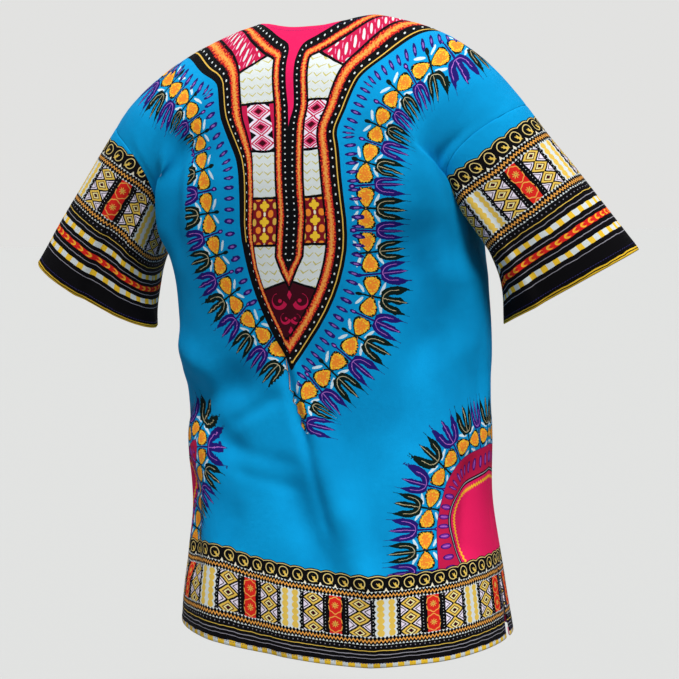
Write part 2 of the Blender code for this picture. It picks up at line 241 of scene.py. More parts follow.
@dataclass(frozen=True)
class Figure:
    """How the cut lies on a standing figure whose arms are held a little away from it."""

    cut: Cut = Cut()
    hem_z: float = -0.763
    hem_side_z: float = -0.750
    underarm: tuple = (0.208, 0.0, -0.222)
    shoulder_end: tuple = (0.271, 0.0, -0.102)
    armhole_round: float = 0.080
    armhole_inward: float = 0.035
    turn_starts_below: float = 0.02
    turn_ends_above: float = 0.09
    cuff_centre: tuple = (0.330, 0.0, -0.317)
    cuff_tilt: float = math.radians(31)
    cuff_half_high: float = 0.094
    cuff_half_deep: float = 0.052
    underarm_bag: float = 0.014
    underarm_clear: float = 0.0012
    least_ease: float = 0.9
    most_ease: float = 1.3
    shoulder_joint: tuple = (0.175, 0.0, -0.060)
    left_arm: Arm = Arm(forward=math.radians(2), out=math.radians(-2))
    right_arm: Arm = Arm(forward=math.radians(6), out=math.radians(-4))
    hem_shift: float = -0.006
    shoulder_shift: float = 0.012
    arm_moves_from: float = 0.4
    arm_moves_below: float = 0.10
    curve_steps: int = 24

    def centre_line(self, face: int, up: np.ndarray) -> tuple[np.ndarray, np.ndarray, np.ndarray]:
        """Points up the middle of a panel.

        Args:
            face: 1 for the back, -1 for the front.
            up: places up the cloth.

        Returns:
            The points, and the fullness of the curve at its middle end and its side end.
        """
        length = self.cut.length
        back_up = [level.up for level in LEVELS]
        over = back_up + [2 * length - value for value in back_up[-2::-1]]
        along = np.where(face > 0, up, 2 * length - up)

        def read(back_values: list, front_values: list) -> np.ndarray:
            """The smooth curve up the back and down the front."""
            return smooth_curve(over, back_values + front_values[-2::-1], along)

        depth = read([level.back for level in LEVELS], [-level.front for level in LEVELS])
        height, spread, wrap = (
            read([getattr(level, name) for level in LEVELS], [getattr(level, name) for level in LEVELS])
            for name in ("height", "spread", "wrap")
        )
        return np.stack([np.zeros_like(depth), depth, height], -1), spread, wrap

    def armhole_line(self, face: np.ndarray, turn: np.ndarray) -> np.ndarray:
        """The armhole seam at an angle from 0 at the underarm to pi on the shoulder.

        Args:
            face: 1 for the back, -1 for the front.
            turn: the angles.

        Returns:
            A point for each angle.
        """
        rise = (1 - np.cos(turn)) / 2
        underarm = np.array(self.underarm)
        line = underarm + rise[..., None] * (np.array(self.shoulder_end) - underarm)
        line[..., 0] -= self.armhole_inward * np.sin(turn) ** 2
        line[..., 1] += face * self.armhole_round * np.sin(turn)
        return line

    def cuff_line(self, face: np.ndarray, turn: np.ndarray) -> np.ndarray:
        """The sleeve's open edge at the same angles.

        Args:
            face: 1 for the back, -1 for the front.
            turn: the angles.

        Returns:
            A point for each angle.
        """
        up = np.array([math.cos(self.cuff_tilt), 0.0, math.sin(self.cuff_tilt)])
        line = np.array(self.cuff_centre) - self.cuff_half_high * np.cos(turn)[..., None] * up
        line[..., 1] += face * self.cuff_half_deep * np.sin(turn)
        return line

    def turn_at(self, up: np.ndarray) -> np.ndarray:
        """The armhole's angle at places up a panel's edge."""
        return math.pi * np.clip((up - self.cut.armhole_up) / self.cut.armhole, 0, 1)

    def edge_line(self, face: int, up: np.ndarray) -> np.ndarray:
        """The outer edge of a body panel: up the side seam, then round the armhole.

        Args:
            face: 1 for the back, -1 for the front.
            up: places up the cloth.

        Returns:
            A point for each place.
        """
        round_arm = self.armhole_line(face, self.turn_at(up))
        out = smooth_curve(SIDE_SEAM_UP, SIDE_SEAM_OUT, up)
        open_by = self.cut.side_slit_open * np.clip(1 - up / self.cut.side_slit, 0, 1)
        height = self.hem_side_z + (self.underarm[2] - self.hem_side_z) * up / self.cut.armhole_up
        side = np.stack([out, face * open_by, height], -1)
        return np.where((up < self.cut.armhole_up)[..., None], side, round_arm)

    def edge_direction(self, face: int, up: np.ndarray) -> np.ndarray:
        """Which way the cloth runs where it reaches the edge.

        Args:
            face: 1 for the back, -1 for the front.
            up: places up the cloth.

        Returns:
            A unit vector for each place.
        """
        turn = self.turn_at(up)
        to_cuff = unit(self.cuff_line(face, turn) - self.armhole_line(face, turn))
        round_body = np.zeros_like(to_cuff)
        round_body[..., 1] = -face
        low = self.cut.armhole_up - self.turn_starts_below
        high = self.cut.armhole_up + self.turn_ends_above
        share = smooth_step(low, high, up)[..., None]
        return unit(round_body * (1 - share) + to_cuff * share)

    def place(self, points: np.ndarray, side: int, arm_share: np.ndarray) -> np.ndarray:
        """Puts points made for a straight figure on a side and into the pose.

        Args:
            points: the points, made for the left side.
            side: 1 for the wearer's left, -1 for the right.
            arm_share: how far each point goes with the arm, from 0 to 1.

        Returns:
            The placed points.
        """
        arm = self.left_arm if side > 0 else self.right_arm
        joint = np.array(self.shoulder_joint)
        placed = points - joint
        for level_axis, turn in ((0, arm.out * arm_share), (1, -arm.forward * arm_share)):
            level, high = placed[..., level_axis].copy(), placed[..., 2].copy()
            placed[..., level_axis] = level * np.cos(turn) - high * np.sin(turn)
            placed[..., 2] = level * np.sin(turn) + high * np.cos(turn)
        placed += joint
        placed[..., 0] = placed[..., 0] * side + self.shoulder_shift * arm_share
        placed[..., 0] += self.hem_shift * np.clip(placed[..., 2] / self.hem_z, 0, 1) * (1 - arm_share)
        return placed

    def body(self, face: int, side: int, across: np.ndarray, up: np.ndarray) -> np.ndarray:
        """The middle of the cloth of a body panel at flat places.

        Args:
            face: 1 for the back, -1 for the front.
            side: 1 for the wearer's left, -1 for the right.
            across: distances from the centre line.
            up: distances up the cloth.

        Returns:
            A point for each place.
        """
        middle, spread, wrap = self.centre_line(face, up)
        edge = self.edge_line(face, up)
        sideways = np.zeros_like(middle)
        sideways[..., 0] = spread
        inner = edge - self.edge_direction(face, up) * wrap[..., None]
        q = np.linspace(0, 1, self.curve_steps + 1)
        weights = ((1 - q) ** 3, 3 * q * (1 - q) ** 2, 3 * q * q * (1 - q), q**3)
        controls = (middle, middle + sideways, inner, edge)
        path = sum(w[:, None] * c[..., None, :] for w, c in zip(weights, controls))
        steps = np.linalg.norm(np.diff(path, axis=-2), axis=-1)
        start_run = np.zeros(steps.shape[:-1] + (1,))
        run = np.concatenate([start_run, np.cumsum(steps, axis=-1)], axis=-1)
        whole = run[..., -1]
        share = np.abs(across) / self.cut.half
        ease = np.clip(self.cut.half / whole, self.least_ease, self.most_ease)
        wanted = whole * share * (ease - (ease - 1) * share**2)
        left = (run[..., :-1] <= wanted[..., None]).sum(-1) - 1
        left = np.clip(left, 0, self.curve_steps - 1)[..., None]
        start = np.take_along_axis(run, left, -1)
        part = (wanted[..., None] - start) / np.take_along_axis(steps, left, -1)
        low = np.take_along_axis(path, left[..., None], -2)[..., 0, :]
        high = np.take_along_axis(path, left[..., None] + 1, -2)[..., 0, :]
        arm_share = smooth_step(self.arm_moves_from, 1, share)
        arm_low = self.cut.armhole_up - self.arm_moves_below
        arm_share = arm_share * smooth_step(arm_low, self.cut.armhole_up, up)
        return self.place(low + part * (high - low), side, arm_share)


@dataclass(frozen=True)
class Fold:
    """A crease along a line between two flat places: its half width and how far it stands out.

    ACROSS is positive to the wearer's left, and a negative rise is a trough."""

    across_low: float
    up_low: float
    across_high: float
    up_high: float
    reach: float
    rise: float


def fold_rows(*rows: tuple) -> tuple:
    """Folds from rows of their six numbers in millimetres."""
    return tuple(Fold(*(value * MM for value in row)) for row in rows)


# Each row: across and up at the low end, across and up at the high end, reach and rise.
BACK_FOLDS = fold_rows(
    (-105, 60, -5, 290, 24, 7),
    (-60, 70, 35, 260, 22, -6),
    (-135, 220, -165, 560, 32, -9),
    (-200, 420, -175, 690, 22, 10),
    (60, 245, 215, 310, 26, -8),
    (110, 330, 235, 400, 24, 6),
    (185, 60, 205, 230, 24, -8),
    (185, 480, 165, 700, 26, -9),
    (215, 500, 205, 680, 18, 8),
    (-215, 90, -235, 260, 26, -7),
    (140, -80, 125, 190, 34, 6),
    (-180, -80, -175, 170, 34, 6),
)
FRONT_FOLDS = fold_rows(
    (30, 40, 60, 360, 26, 8),
    (-90, 50, -60, 300, 26, -7),
    (150, 230, 185, 560, 28, -8),
    (-150, 300, -190, 600, 28, -9),
    (205, 480, 185, 680, 22, 9),
    (-210, 480, -185, 690, 22, 8),
    (-190, -80, -170, 200, 34, 7),
    (165, -80, 180, 180, 34, 6),
)
BACK_CREASES = fold_rows(
    (-215, 360, -130, 560, 60, -8),
    (-310, 290, -120, 410, 50, -9),
    (-285, 555, -110, 600, 90, 11),
    (275, 545, 110, 570, 90, 11),
    (290, 292, 30, 356, 28, -12),
    (112, 282, 12, 340, 10, -3.5),
    (-44, 140, 6, 330, 7.5, -4),
    (-6, 272, 26, 410, 7, -6),
    (-20, 262, 12, 400, 8, 3),
    (-66, 150, -14, 335, 18, 4),
    (125, 262, -15, 246, 10, -1.7),
    (115, 232, -10, 216, 8, -1.2),
    (-232, 640, -292, 715, 14, -4.5),
    (-205, 100, -240, 240, 14, -3),
    (120, 60, 85, 200, 16, -3),
    (-105, -20, -80, 140, 20, 3.5),
    (20, -20, 30, 120, 20, 3),
)
FRONT_CREASES = fold_rows(
    (270, 300, 130, 420, 26, -10),
    (-285, 310, -60, 370, 28, -10),
    (285, 555, 110, 600, 90, 8),
    (-285, 555, -110, 600, 90, 8),
    (-40, 160, 10, 330, 10, -3.5),
    (130, 250, 10, 230, 9, -2.5),
    (-120, 220, -20, 205, 9, -2),
    (110, 40, 80, 190, 16, -3),
    (10, -20, 20, 130, 20, 3.5),
)


@dataclass(frozen=True)
class SleeveFold:
    """A crease of a sleeve: turn is in degrees from the underarm backwards, along runs to the cuff, 1."""

    turn_low: float
    along_low: float
    turn_high: float
    along_high: float
    reach: float
    rise: float


LEFT_SLEEVE_FOLDS = (
    SleeveFold(turn_low=60, along_low=-0.1, turn_high=95, along_high=0.8, reach=15, rise=-0.005),
    SleeveFold(turn_low=300, along_low=0.0, turn_high=270, along_high=0.9, reach=15, rise=0.005),
)
RIGHT_SLEEVE_FOLDS = (
    SleeveFold(turn_low=50, along_low=-0.1, turn_high=80, along_high=0.9, reach=15, rise=0.006),
    SleeveFold(turn_low=290, along_low=0.1, turn_high=265, along_high=1.0, reach=15, rise=-0.005),
)


@dataclass(frozen=True)
class Cloth:
    """The cloth itself, and how its edges are turned and joined."""

    thickness: float = 0.0007
    turned_gap: float = 0.0004
    seam_inset: float = 0.00015
    seam_dip: float = 0.0003
    seam_dip_reach: float = 0.004
    flange_depths: tuple = (0.0015, 0.004, 0.008)
    fold_end: float = 0.25
    flat_at_seam: float = 0.030
    sleeve_flat_at_seam: float = 0.2
    swell: float = 0.0012
    swell_cell: float = 0.055
    pucker: float = 0.00035
    pucker_cell: float = 0.009
    pucker_reach: float = 0.014


CLOTH = Cloth()
FIGURE = Figure()
CUT = FIGURE.cut


def fold_height(places: np.ndarray, start: tuple, end: tuple, reach: float, rise: float) -> np.ndarray:
    """How far one fold lifts the cloth at each place.

    Args:
        places: flat places, two numbers each.
        start: where the fold starts.
        end: where it ends.
        reach: its half width.
        rise: its height.

    Returns:
        The lift at each place.
    """
    start = np.array(start)
    line = np.array(end) - start
    along = (places - start) @ line / (line @ line)
    off = np.linalg.norm(places - start - np.clip(along, 0, 1)[..., None] * line, axis=-1)
    ends = smooth_step(0, CLOTH.fold_end, along) * smooth_step(0, CLOTH.fold_end, 1 - along)
    return rise * ends * np.exp(-((off / reach) ** 2))


@dataclass
class Grid:
    """A sheet of cloth as rows and columns of points, with its flat places and its turned edges.

    OUTWARDS is the way from the wearer at each point, WRAPPED whether the last column meets the first, SPLIT
    the column that starts the left half, and PRINTED where the print lies, if not at the flat places."""

    points: np.ndarray
    flat: np.ndarray
    outwards: np.ndarray
    wrapped: bool
    split: int | None = None
    printed: Callable[[np.ndarray], np.ndarray] | None = None

    def turn_edge(self, axis: int, high: bool, seam_share: np.ndarray, depths: tuple) -> None:
        """Adds lines past one edge: turned back under the cloth as a hem, or inwards as a seam.

        Args:
            axis: 0 for the lowest or highest row, 1 for the first or last column.
            high: whether it is the highest row or the last column.
            seam_share: at each place along the edge, 1 for a seam and 0 for a hem.
            depths: how deep a seam's lines lie.
        """
        count = len(depths)
        widths = [(0, 0)] * 3
        widths[axis] = (0, count) if high else (count, 0)
        turned = np.pad(self.points, widths, mode="reflect")
        edge = np.pad(self.points, widths, mode="edge")
        outwards = np.pad(self.outwards, widths, mode="reflect")
        share = seam_share[:, None] if axis == 1 else seam_share[None, :]
        under = CLOTH.thickness + CLOTH.turned_gap
        seam_lines = np.array((0.0,) + depths)
        hem_lines = np.array([0.5] + [1.0] * count) * under
        size = turned.shape[axis]
        at = np.arange(size - count - 1, size) if high else np.arange(count + 1)[::-1]
        seam_depth, hem_depth = np.zeros((2, size, 1) if axis == 0 else (2, size))
        seam_depth[at] = seam_lines.reshape(seam_depth[at].shape)
        hem_depth[at] = hem_lines.reshape(hem_depth[at].shape)
        depth = hem_depth * (1 - share) + seam_depth * share
        self.points = turned * (1 - share[..., None]) + edge * share[..., None] - outwards * depth[..., None]
        self.outwards = outwards
        self.flat = np.pad(self.flat, widths, mode="reflect", reflect_type="odd")
        if axis == 1 and not high and self.split is not None:
            self.split += count

    def shell(self, name: str, sign: int, fields: dict[str, np.ndarray]) -> bpy.types.Object:
        """Makes the cloth with its thickness, closed all round.

        Args:
            name: the piece's name.
            sign: 1 where rows then columns turn outwards by the right hand, else -1.
            fields: an attribute of three numbers at each place, by name.

        Returns:
            The piece, in the scene.
        """
        rows, columns = self.points.shape[:2]
        normals = surface_normals(self.points, self.wrapped) * sign
        if self.split is not None:
            pair = slice(self.split - 1, self.split + 1)
            normals[:, pair] = unit(normals[:, pair].sum(1, keepdims=True))
        outer = self.points + normals * CLOTH.thickness / 2
        inner = self.points - normals * CLOTH.thickness / 2
        number = np.arange(rows * columns).reshape(rows, columns)
        if self.split is not None:
            left, right = self.points[:, self.split - 1], self.points[:, self.split]
            joined = np.linalg.norm(left - right, axis=-1) < CLOTH.thickness
            number[joined, self.split] = number[joined, self.split - 1]
        across = np.roll(number, -1, 1) if self.wrapped else number[:, 1:]
        base = number if self.wrapped else number[:, :-1]
        quads = np.stack([base[:-1], base[1:], across[1:], across[:-1]], -1)
        if self.split is not None:
            quads = np.delete(quads, self.split - 1, axis=1)
        quads = quads.reshape(-1, 4)
        if sign < 0:
            quads = quads[:, ::-1]
        edges = np.concatenate([quads[:, [i, (i + 1) % 4]] for i in range(4)])
        key = np.sort(edges, 1)
        _, first, count = np.unique(key, axis=0, return_index=True, return_counts=True)
        rim = edges[first[count == 1]]
        total = rows * columns
        rims = np.stack([rim[:, 1], rim[:, 0], rim[:, 0] + total, rim[:, 1] + total], -1)
        faces = np.concatenate([quads, quads[:, ::-1] + total, rims])
        used, faces = np.unique(faces, return_inverse=True)
        faces = faces.reshape(-1, 4)
        points = np.concatenate([outer.reshape(-1, 3), inner.reshape(-1, 3)])[used]
        data = bpy.data.meshes.new(name)
        data.from_pydata(points.tolist(), [], faces.tolist())
        flat = np.concatenate([self.flat.reshape(-1, 2)] * 2)[used][faces]
        if self.wrapped:
            around = self.flat[..., 0].max() * columns / (columns - 1)
            past = (np.ptp(flat[..., 0], axis=1) > around / 2)[:, None] & (flat[..., 0] < around / 2)
            flat[..., 0] += np.where(past, around, 0)
        if self.printed:
            flat = self.printed(flat)
        layer = data.uv_layers.new(name="cut")
        layer.data.foreach_set("uv", flat.astype(np.float32).reshape(-1))
        inside = np.concatenate([np.zeros(total), np.ones(total)])[used]
        for key_name, values in fields.items():
            both = np.concatenate([values.reshape(-1, 3)] * 2)[used]
            attribute = data.attributes.new(key_name, "FLOAT_VECTOR", "POINT")
            attribute.data.foreach_set("vector", both.astype(np.float32).reshape(-1))
        attribute = data.attributes.new("inside", "FLOAT", "POINT")
        attribute.data.foreach_set("value", inside.astype(np.float32))
        data.shade_smooth()
        data.validate()
        return add_object(name, data)


def spaced(low: float, high: float, step: float) -> np.ndarray:
    """Even numbers from low to high, both included, about a step apart."""
    return np.linspace(low, high, max(2, round((high - low) / step) + 1))


def edged(low: tuple, high: tuple, length: float, step: float) -> np.ndarray:
    """Places from 0 to a length, about a step apart between the lines of its two edges.

    Args:
        low: how far the lines of the first edge lie from it.
        high: the same for the last edge.
        length: the whole length.
        step: how far apart the places between are.

    Returns:
        The places.
    """
    first, last = np.array(low), length - np.array(high[::-1])
    return np.concatenate([first, spaced(first[-1] + step, last[0] - step, step), last])


def settled(
    lift: np.ndarray,
    flat: np.ndarray,
    seed: int,
    level: np.ndarray,
    edge_off: np.ndarray,
    seam_off: np.ndarray,
) -> np.ndarray:
    """Adds what all cloth has to the lift of the folds: swells, puckers at the edges and dips at seams.

    Args:
        lift: how far the folds lift the cloth.
        flat: the flat places.
        seed: which unevenness it is.
        level: how much of the lift stays, from 0 at a seam to 1.
        edge_off: how far each place is from the nearest edge.
        seam_off: how far it is from the nearest seam.

    Returns:
        The whole lift.
    """
    lift = (lift + CLOTH.swell * uneven(flat, CLOTH.swell_cell, seed)) * level
    near = np.exp(-((edge_off / CLOTH.pucker_reach) ** 2))
    lift += CLOTH.pucker * near * uneven(flat, CLOTH.pucker_cell, seed + 1)
    return lift - CLOTH.seam_dip * np.clip(1 - seam_off / CLOTH.seam_dip_reach, 0, 1) ** 2


@dataclass(frozen=True)
class BodyPanel:
    """The back or the front of the body."""

    name: str
    face: int
    area: float
    folds: tuple
    seed: int
    flat: tuple = (2 * CUT.half, CUT.length)
    step: float = 0.0042
    edge_lines: tuple = (0.0, 0.0012, 0.0055, 0.0105)
    neck_lines: tuple = (0.0, 0.0012, 0.0040, 0.0078)
    easing: int = 60
    easing_reach: float = 0.06
    easing_rise: float = 0.10
    hem_rises: tuple = (
        (-290, 3), (-180, 1), (-84, 0), (-16, 6.6), (43, 13), (106, 16), (145, 17.5), (236, 16), (290, 13),
    )
    rise_end: float = 0.6
    blend: float = 0.004

    def columns(self) -> np.ndarray:
        """Places the columns of one half.

        Returns:
            Their distances from the centre line.
        """
        edge = CUT.half - CLOTH.seam_inset
        inner = spaced(0, edge - self.edge_lines[-1] - self.step, self.step)
        return np.concatenate([inner, edge - np.array(self.edge_lines[::-1])])

    def rows(self) -> np.ndarray:
        """How far up the panel its rows lie, as shares of its height."""
        return edged(self.edge_lines, self.neck_lines, CUT.length, self.step) / CUT.length

    def raised(self, side: int, across: np.ndarray, up: np.ndarray, rise: np.ndarray) -> np.ndarray:
        """One half of the panel on the figure, with its hem raised."""
        return FIGURE.body(self.face, side, across, up + rise)

    def grid(self) -> Grid:
        """Lays the panel's cloth with its creases.

        Returns:
            The cloth before its edges are turned.
        """
        columns = self.columns()
        rows = self.rows()
        up = rows[:, None] * (CUT.top(self.face, columns) - CLOTH.seam_inset)[None, :]
        places, rises = np.array(self.hem_rises).T * MM
        fading = smooth_step(self.rise_end, 0.1, rows)[:, None]
        across = np.broadcast_to(columns, up.shape).copy()
        if self.face < 0:
            foot = 1 - CUT.neck_slit / (CUT.length - CUT.front_neck_drop)
            opened = np.clip((rows - foot) / (1 - foot), 0, 1)
            narrowed = np.clip(1 - across / CUT.neck_half, 0, 1)
            across += CUT.neck_slit_half * opened[:, None] * narrowed
        left, right = (
            self.eased(self.raised(side, across, up, np.interp(side * columns, places, rises) * fading), up)
            for side in (1, -1)
        )
        points = np.concatenate([right[:, ::-1], left], 1)
        outwards = surface_normals(points) * self.face
        middle = slice(len(columns) - 1, len(columns) + 1)
        outwards[:, middle] = unit(outwards[:, middle].sum(1, keepdims=True))
        sides = ((-across, up), (across, up))
        flat = np.concatenate([np.stack(sides[0], -1)[:, ::-1], np.stack(sides[1], -1)], 1)
        lift = self.lift(flat)
        return Grid(points + outwards * lift[..., None], flat, outwards, wrapped=False, split=len(columns))

    def eased(self, points: np.ndarray, up: np.ndarray) -> np.ndarray:
        """Eases the cut's sudden turn at the underarm, away from the seam.

        Args:
            points: one half of the panel.
            up: how far up the cloth each point is.

        Returns:
            The eased points.
        """
        soft = points.copy()
        for _ in range(self.easing):
            soft[1:-1] = (soft[:-2] + 2 * soft[1:-1] + soft[2:]) / 4
        share = smooth_step(CUT.half, CUT.half - self.easing_reach, self.columns())[None, :, None]
        near = smooth_step(self.easing_rise, 0, np.abs(up - CUT.armhole_up))[..., None]
        return points + (soft - points) * share * near

    def lift(self, flat: np.ndarray) -> np.ndarray:
        """Works out how far the cloth stands off its smooth surface.

        Args:
            flat: flat places.

        Returns:
            The lift at each place.
        """
        across, up = np.abs(flat[..., 0]), flat[..., 1]
        lift = sum(
            fold_height(flat, (f.across_low, f.up_low), (f.across_high, f.up_high), f.reach, f.rise)
            for f in self.folds
        )
        side_off = CUT.half - across
        top_off = CUT.top(self.face, across) - up
        level = smooth_step(0, CLOTH.flat_at_seam, side_off) * smooth_step(0, CLOTH.flat_at_seam, top_off)
        edge_off = np.minimum(np.minimum(side_off, top_off), up)
        seam_off = np.where(up > CUT.side_slit, side_off, np.where(across > CUT.neck_half, top_off, 1))
        return settled(lift, flat, self.seed, level, edge_off, seam_off)

    def build(self) -> tuple[bpy.types.Object, list[np.ndarray]]:
        """Makes the panel.

        Returns:
            The piece, and the lines its stitches run along.
        """
        grid = self.grid()
        lines = self.stitch_lines(grid)
        side_up = grid.flat[:, 0, 1]
        seam = smooth_step(CUT.side_slit - self.blend, CUT.side_slit + self.blend, side_up)
        for high in (False, True):
            grid.turn_edge(1, high, seam, CLOTH.flange_depths)
        across = np.abs(grid.flat[-1, :, 0])
        shoulder = smooth_step(CUT.neck_half - self.blend, CUT.neck_half + self.blend, across)
        for high, share in ((False, np.zeros(len(across))), (True, shoulder)):
            grid.turn_edge(0, high, share, CLOTH.flange_depths)
        return grid.shell(self.name, self.face, PRINT.fields(grid.flat)), lines

    def stitch_lines(self, grid: Grid) -> list[np.ndarray]:
        """Finds where the stitches run: round the hem, the side slits, the neck and the neck slit.

        Args:
            grid: the panel's cloth.

        Returns:
            The lines.
        """
        raised = grid.points + grid.outwards * CLOTH.thickness / 2
        inset = len(self.edge_lines) - 2
        up = grid.flat[:, 0, 1]
        slit = up < CUT.side_slit
        across = np.abs(grid.flat[-1, :, 0])
        neck = across < CUT.neck_half
        lines = [
            raised[inset, inset:-inset],
            raised[slit][inset:, inset],
            raised[slit][inset:, -1 - inset],
        ]
        for half in np.array_split(np.arange(raised.shape[1]), 2):
            lines.append(raised[-1 - inset, half[neck[half]]])
        return lines


@dataclass(frozen=True)
class SleevePrint:
    """How a sleeve was cut from the printed cloth: scale and start round it, shifts along it in mm."""

    scale: float
    start: float
    seam_shifts: tuple
    cuff_shift: float


SLEEVE_PRINTS = {
    1: SleevePrint(
        scale=0.884,
        start=67.0,
        seam_shifts=((60, -26), (85, -22), (111, -12), (145, 1), (207, 15)),
        cuff_shift=13.0,
    ),
    -1: SleevePrint(
        scale=1.116,
        start=1.0,
        seam_shifts=((60, -10), (89, 0), (115, 12), (145, 22), (207, 16)),
        cuff_shift=16.0,
    ),
}


@dataclass(frozen=True)
class Sleeve:
    """One sleeve, a tube from the armhole seam to the cuff."""

    name: str
    side: int
    folds: tuple
    seed: int
    columns: int = 124
    step: float = 0.0042
    seam_lines: tuple = (0.0, 0.0012, 0.0040, 0.0080)
    cuff_lines: tuple = (0.0, 0.0012, 0.0100, 0.0200)
    length: float = 0.215
    around: float = 0.460

    @property
    def flat(self) -> tuple[float, float]:
        """The sizes of its flat cut."""
        return self.around, self.length

    @property
    def area(self) -> float:
        """The area of its flat cut."""
        return self.around * self.length

    def printed(self, flat: np.ndarray) -> np.ndarray:
        """Shifts and scales the print as the sleeve was cut from it.

        Args:
            flat: flat places, in metres.

        Returns:
            The places in the print.
        """
        layout = SLEEVE_PRINTS[self.side]
        share = flat[..., 1] / self.length
        from_low = np.minimum(flat[..., 0], self.around - flat[..., 0]) / MM
        at_seam = np.interp(from_low, *zip(*layout.seam_shifts))
        shift = at_seam * (1 - share) + layout.cuff_shift * share
        shift = shift * smooth_step(0.95, 0.88, share)
        return np.stack([flat[..., 0] * layout.scale + layout.start * MM, flat[..., 1] - shift * MM], -1)

    def grid(self) -> Grid:
        """Lays the sleeve's cloth with its creases.

        Returns:
            The cloth before its edges are turned.
        """
        turns = np.arange(self.columns) * 2 * math.pi / self.columns
        faces = np.where(turns <= math.pi, 1.0, -1.0)
        angles = np.degrees(turns)
        turns = np.where(turns <= math.pi, turns, 2 * math.pi - turns)
        end = FIGURE.cuff_line(faces, turns)
        start = FIGURE.armhole_line(faces, turns)
        start += unit(end - start) * CLOTH.seam_inset
        low_side = np.cos(turns / 2) ** 2
        start[..., 0] += FIGURE.underarm_clear * low_side
        along = edged(self.seam_lines, self.cuff_lines, self.length, self.step) / self.length
        rows = start + (end - start) * along[:, None, None]
        rows[..., 0] += FIGURE.underarm_bag * np.sin(math.pi * along)[:, None] * low_side
        outwards = -surface_normals(rows, wrapped=True)
        lift = 0
        for fold in self.folds:
            places = np.stack(np.broadcast_arrays(angles / fold.reach, along[:, None]), -1)
            foot = (fold.turn_low / fold.reach, fold.along_low)
            head = (fold.turn_high / fold.reach, fold.along_high)
            lift = lift + fold_height(places, foot, head, 1, fold.rise)
        flat = np.stack(np.broadcast_arrays(angles / 360 * self.around, along[:, None] * self.length), -1)
        level = smooth_step(0, CLOTH.sleeve_flat_at_seam, along)[:, None]
        edge_off = np.minimum(flat[..., 1], self.length - flat[..., 1])
        lift = settled(lift, flat, self.seed, level, edge_off, flat[..., 1])
        points = FIGURE.place(rows + outwards * lift[..., None], self.side, 1)
        placed = surface_normals(points, wrapped=True) * -self.side
        return Grid(points, flat, placed, wrapped=True, printed=self.printed)

    def build(self) -> tuple[bpy.types.Object, list[np.ndarray]]:
        """Makes the sleeve.

        Returns:
            The piece, and the lines its stitches run along.
        """
        grid = self.grid()
        raised = grid.points + grid.outwards * CLOTH.thickness / 2
        row = raised[-len(self.cuff_lines) + 1]
        lines = [np.concatenate([row, row[:1]])]
        for high, share in ((False, np.ones(self.columns)), (True, np.zeros(self.columns))):
            grid.turn_edge(0, high, share, CLOTH.flange_depths)
        return grid.shell(self.name, -self.side, {}), lines


class Outline:
    """A smooth line in the flat cloth, with how far along it and how far off it a place lies."""

    def __init__(self, corners: tuple, rounds: int = 2) -> None:
        """Rounds the corners of the line.

        Args:
            corners: its corners, in millimetres.
            rounds: how often the corners are cut.
        """
        line = np.array(corners, float)
        for _ in range(rounds):
            low = line[:-1] * 0.75 + line[1:] * 0.25
            high = line[:-1] * 0.25 + line[1:] * 0.75
            inner = np.stack([low, high], 1).reshape(-1, 2)
            line = np.concatenate([line[:1], inner, line[-1:]])
        self.line = line

    def read(self, places: np.ndarray) -> tuple[np.ndarray, np.ndarray]:
        """Measures places against the line.

        Args:
            places: places in millimetres.

        Returns:
            How far each is along the line from its end, and how far off it to the outside.
        """
        start, ends = self.line[:-1], np.diff(self.line, axis=0)
        lengths = np.linalg.norm(ends, axis=1)
        gone = np.concatenate([[0], np.cumsum(lengths)])
        whole = gone[-1]
        best = np.full(places.shape[:-1], np.inf)
        along = np.zeros_like(best)
        sign = np.ones_like(best)
        for i, (foot, step, length) in enumerate(zip(start, ends, lengths)):
            from_foot = places - foot
            share = (from_foot @ step) / length**2
            share = np.clip(share, 0 if i else -999, 1 if i < len(ends) - 1 else 999)
            off = from_foot - share[..., None] * step
            far = np.hypot(off[..., 0], off[..., 1])
            nearer = far < best
            best = np.where(nearer, far, best)
            along = np.where(nearer, gone[i] + share * length, along)
            turn = from_foot[..., 0] * step[1] - from_foot[..., 1] * step[0]
            sign = np.where(nearer, np.where(turn < 0, -1, 1), sign)
        return whole - along, best * sign


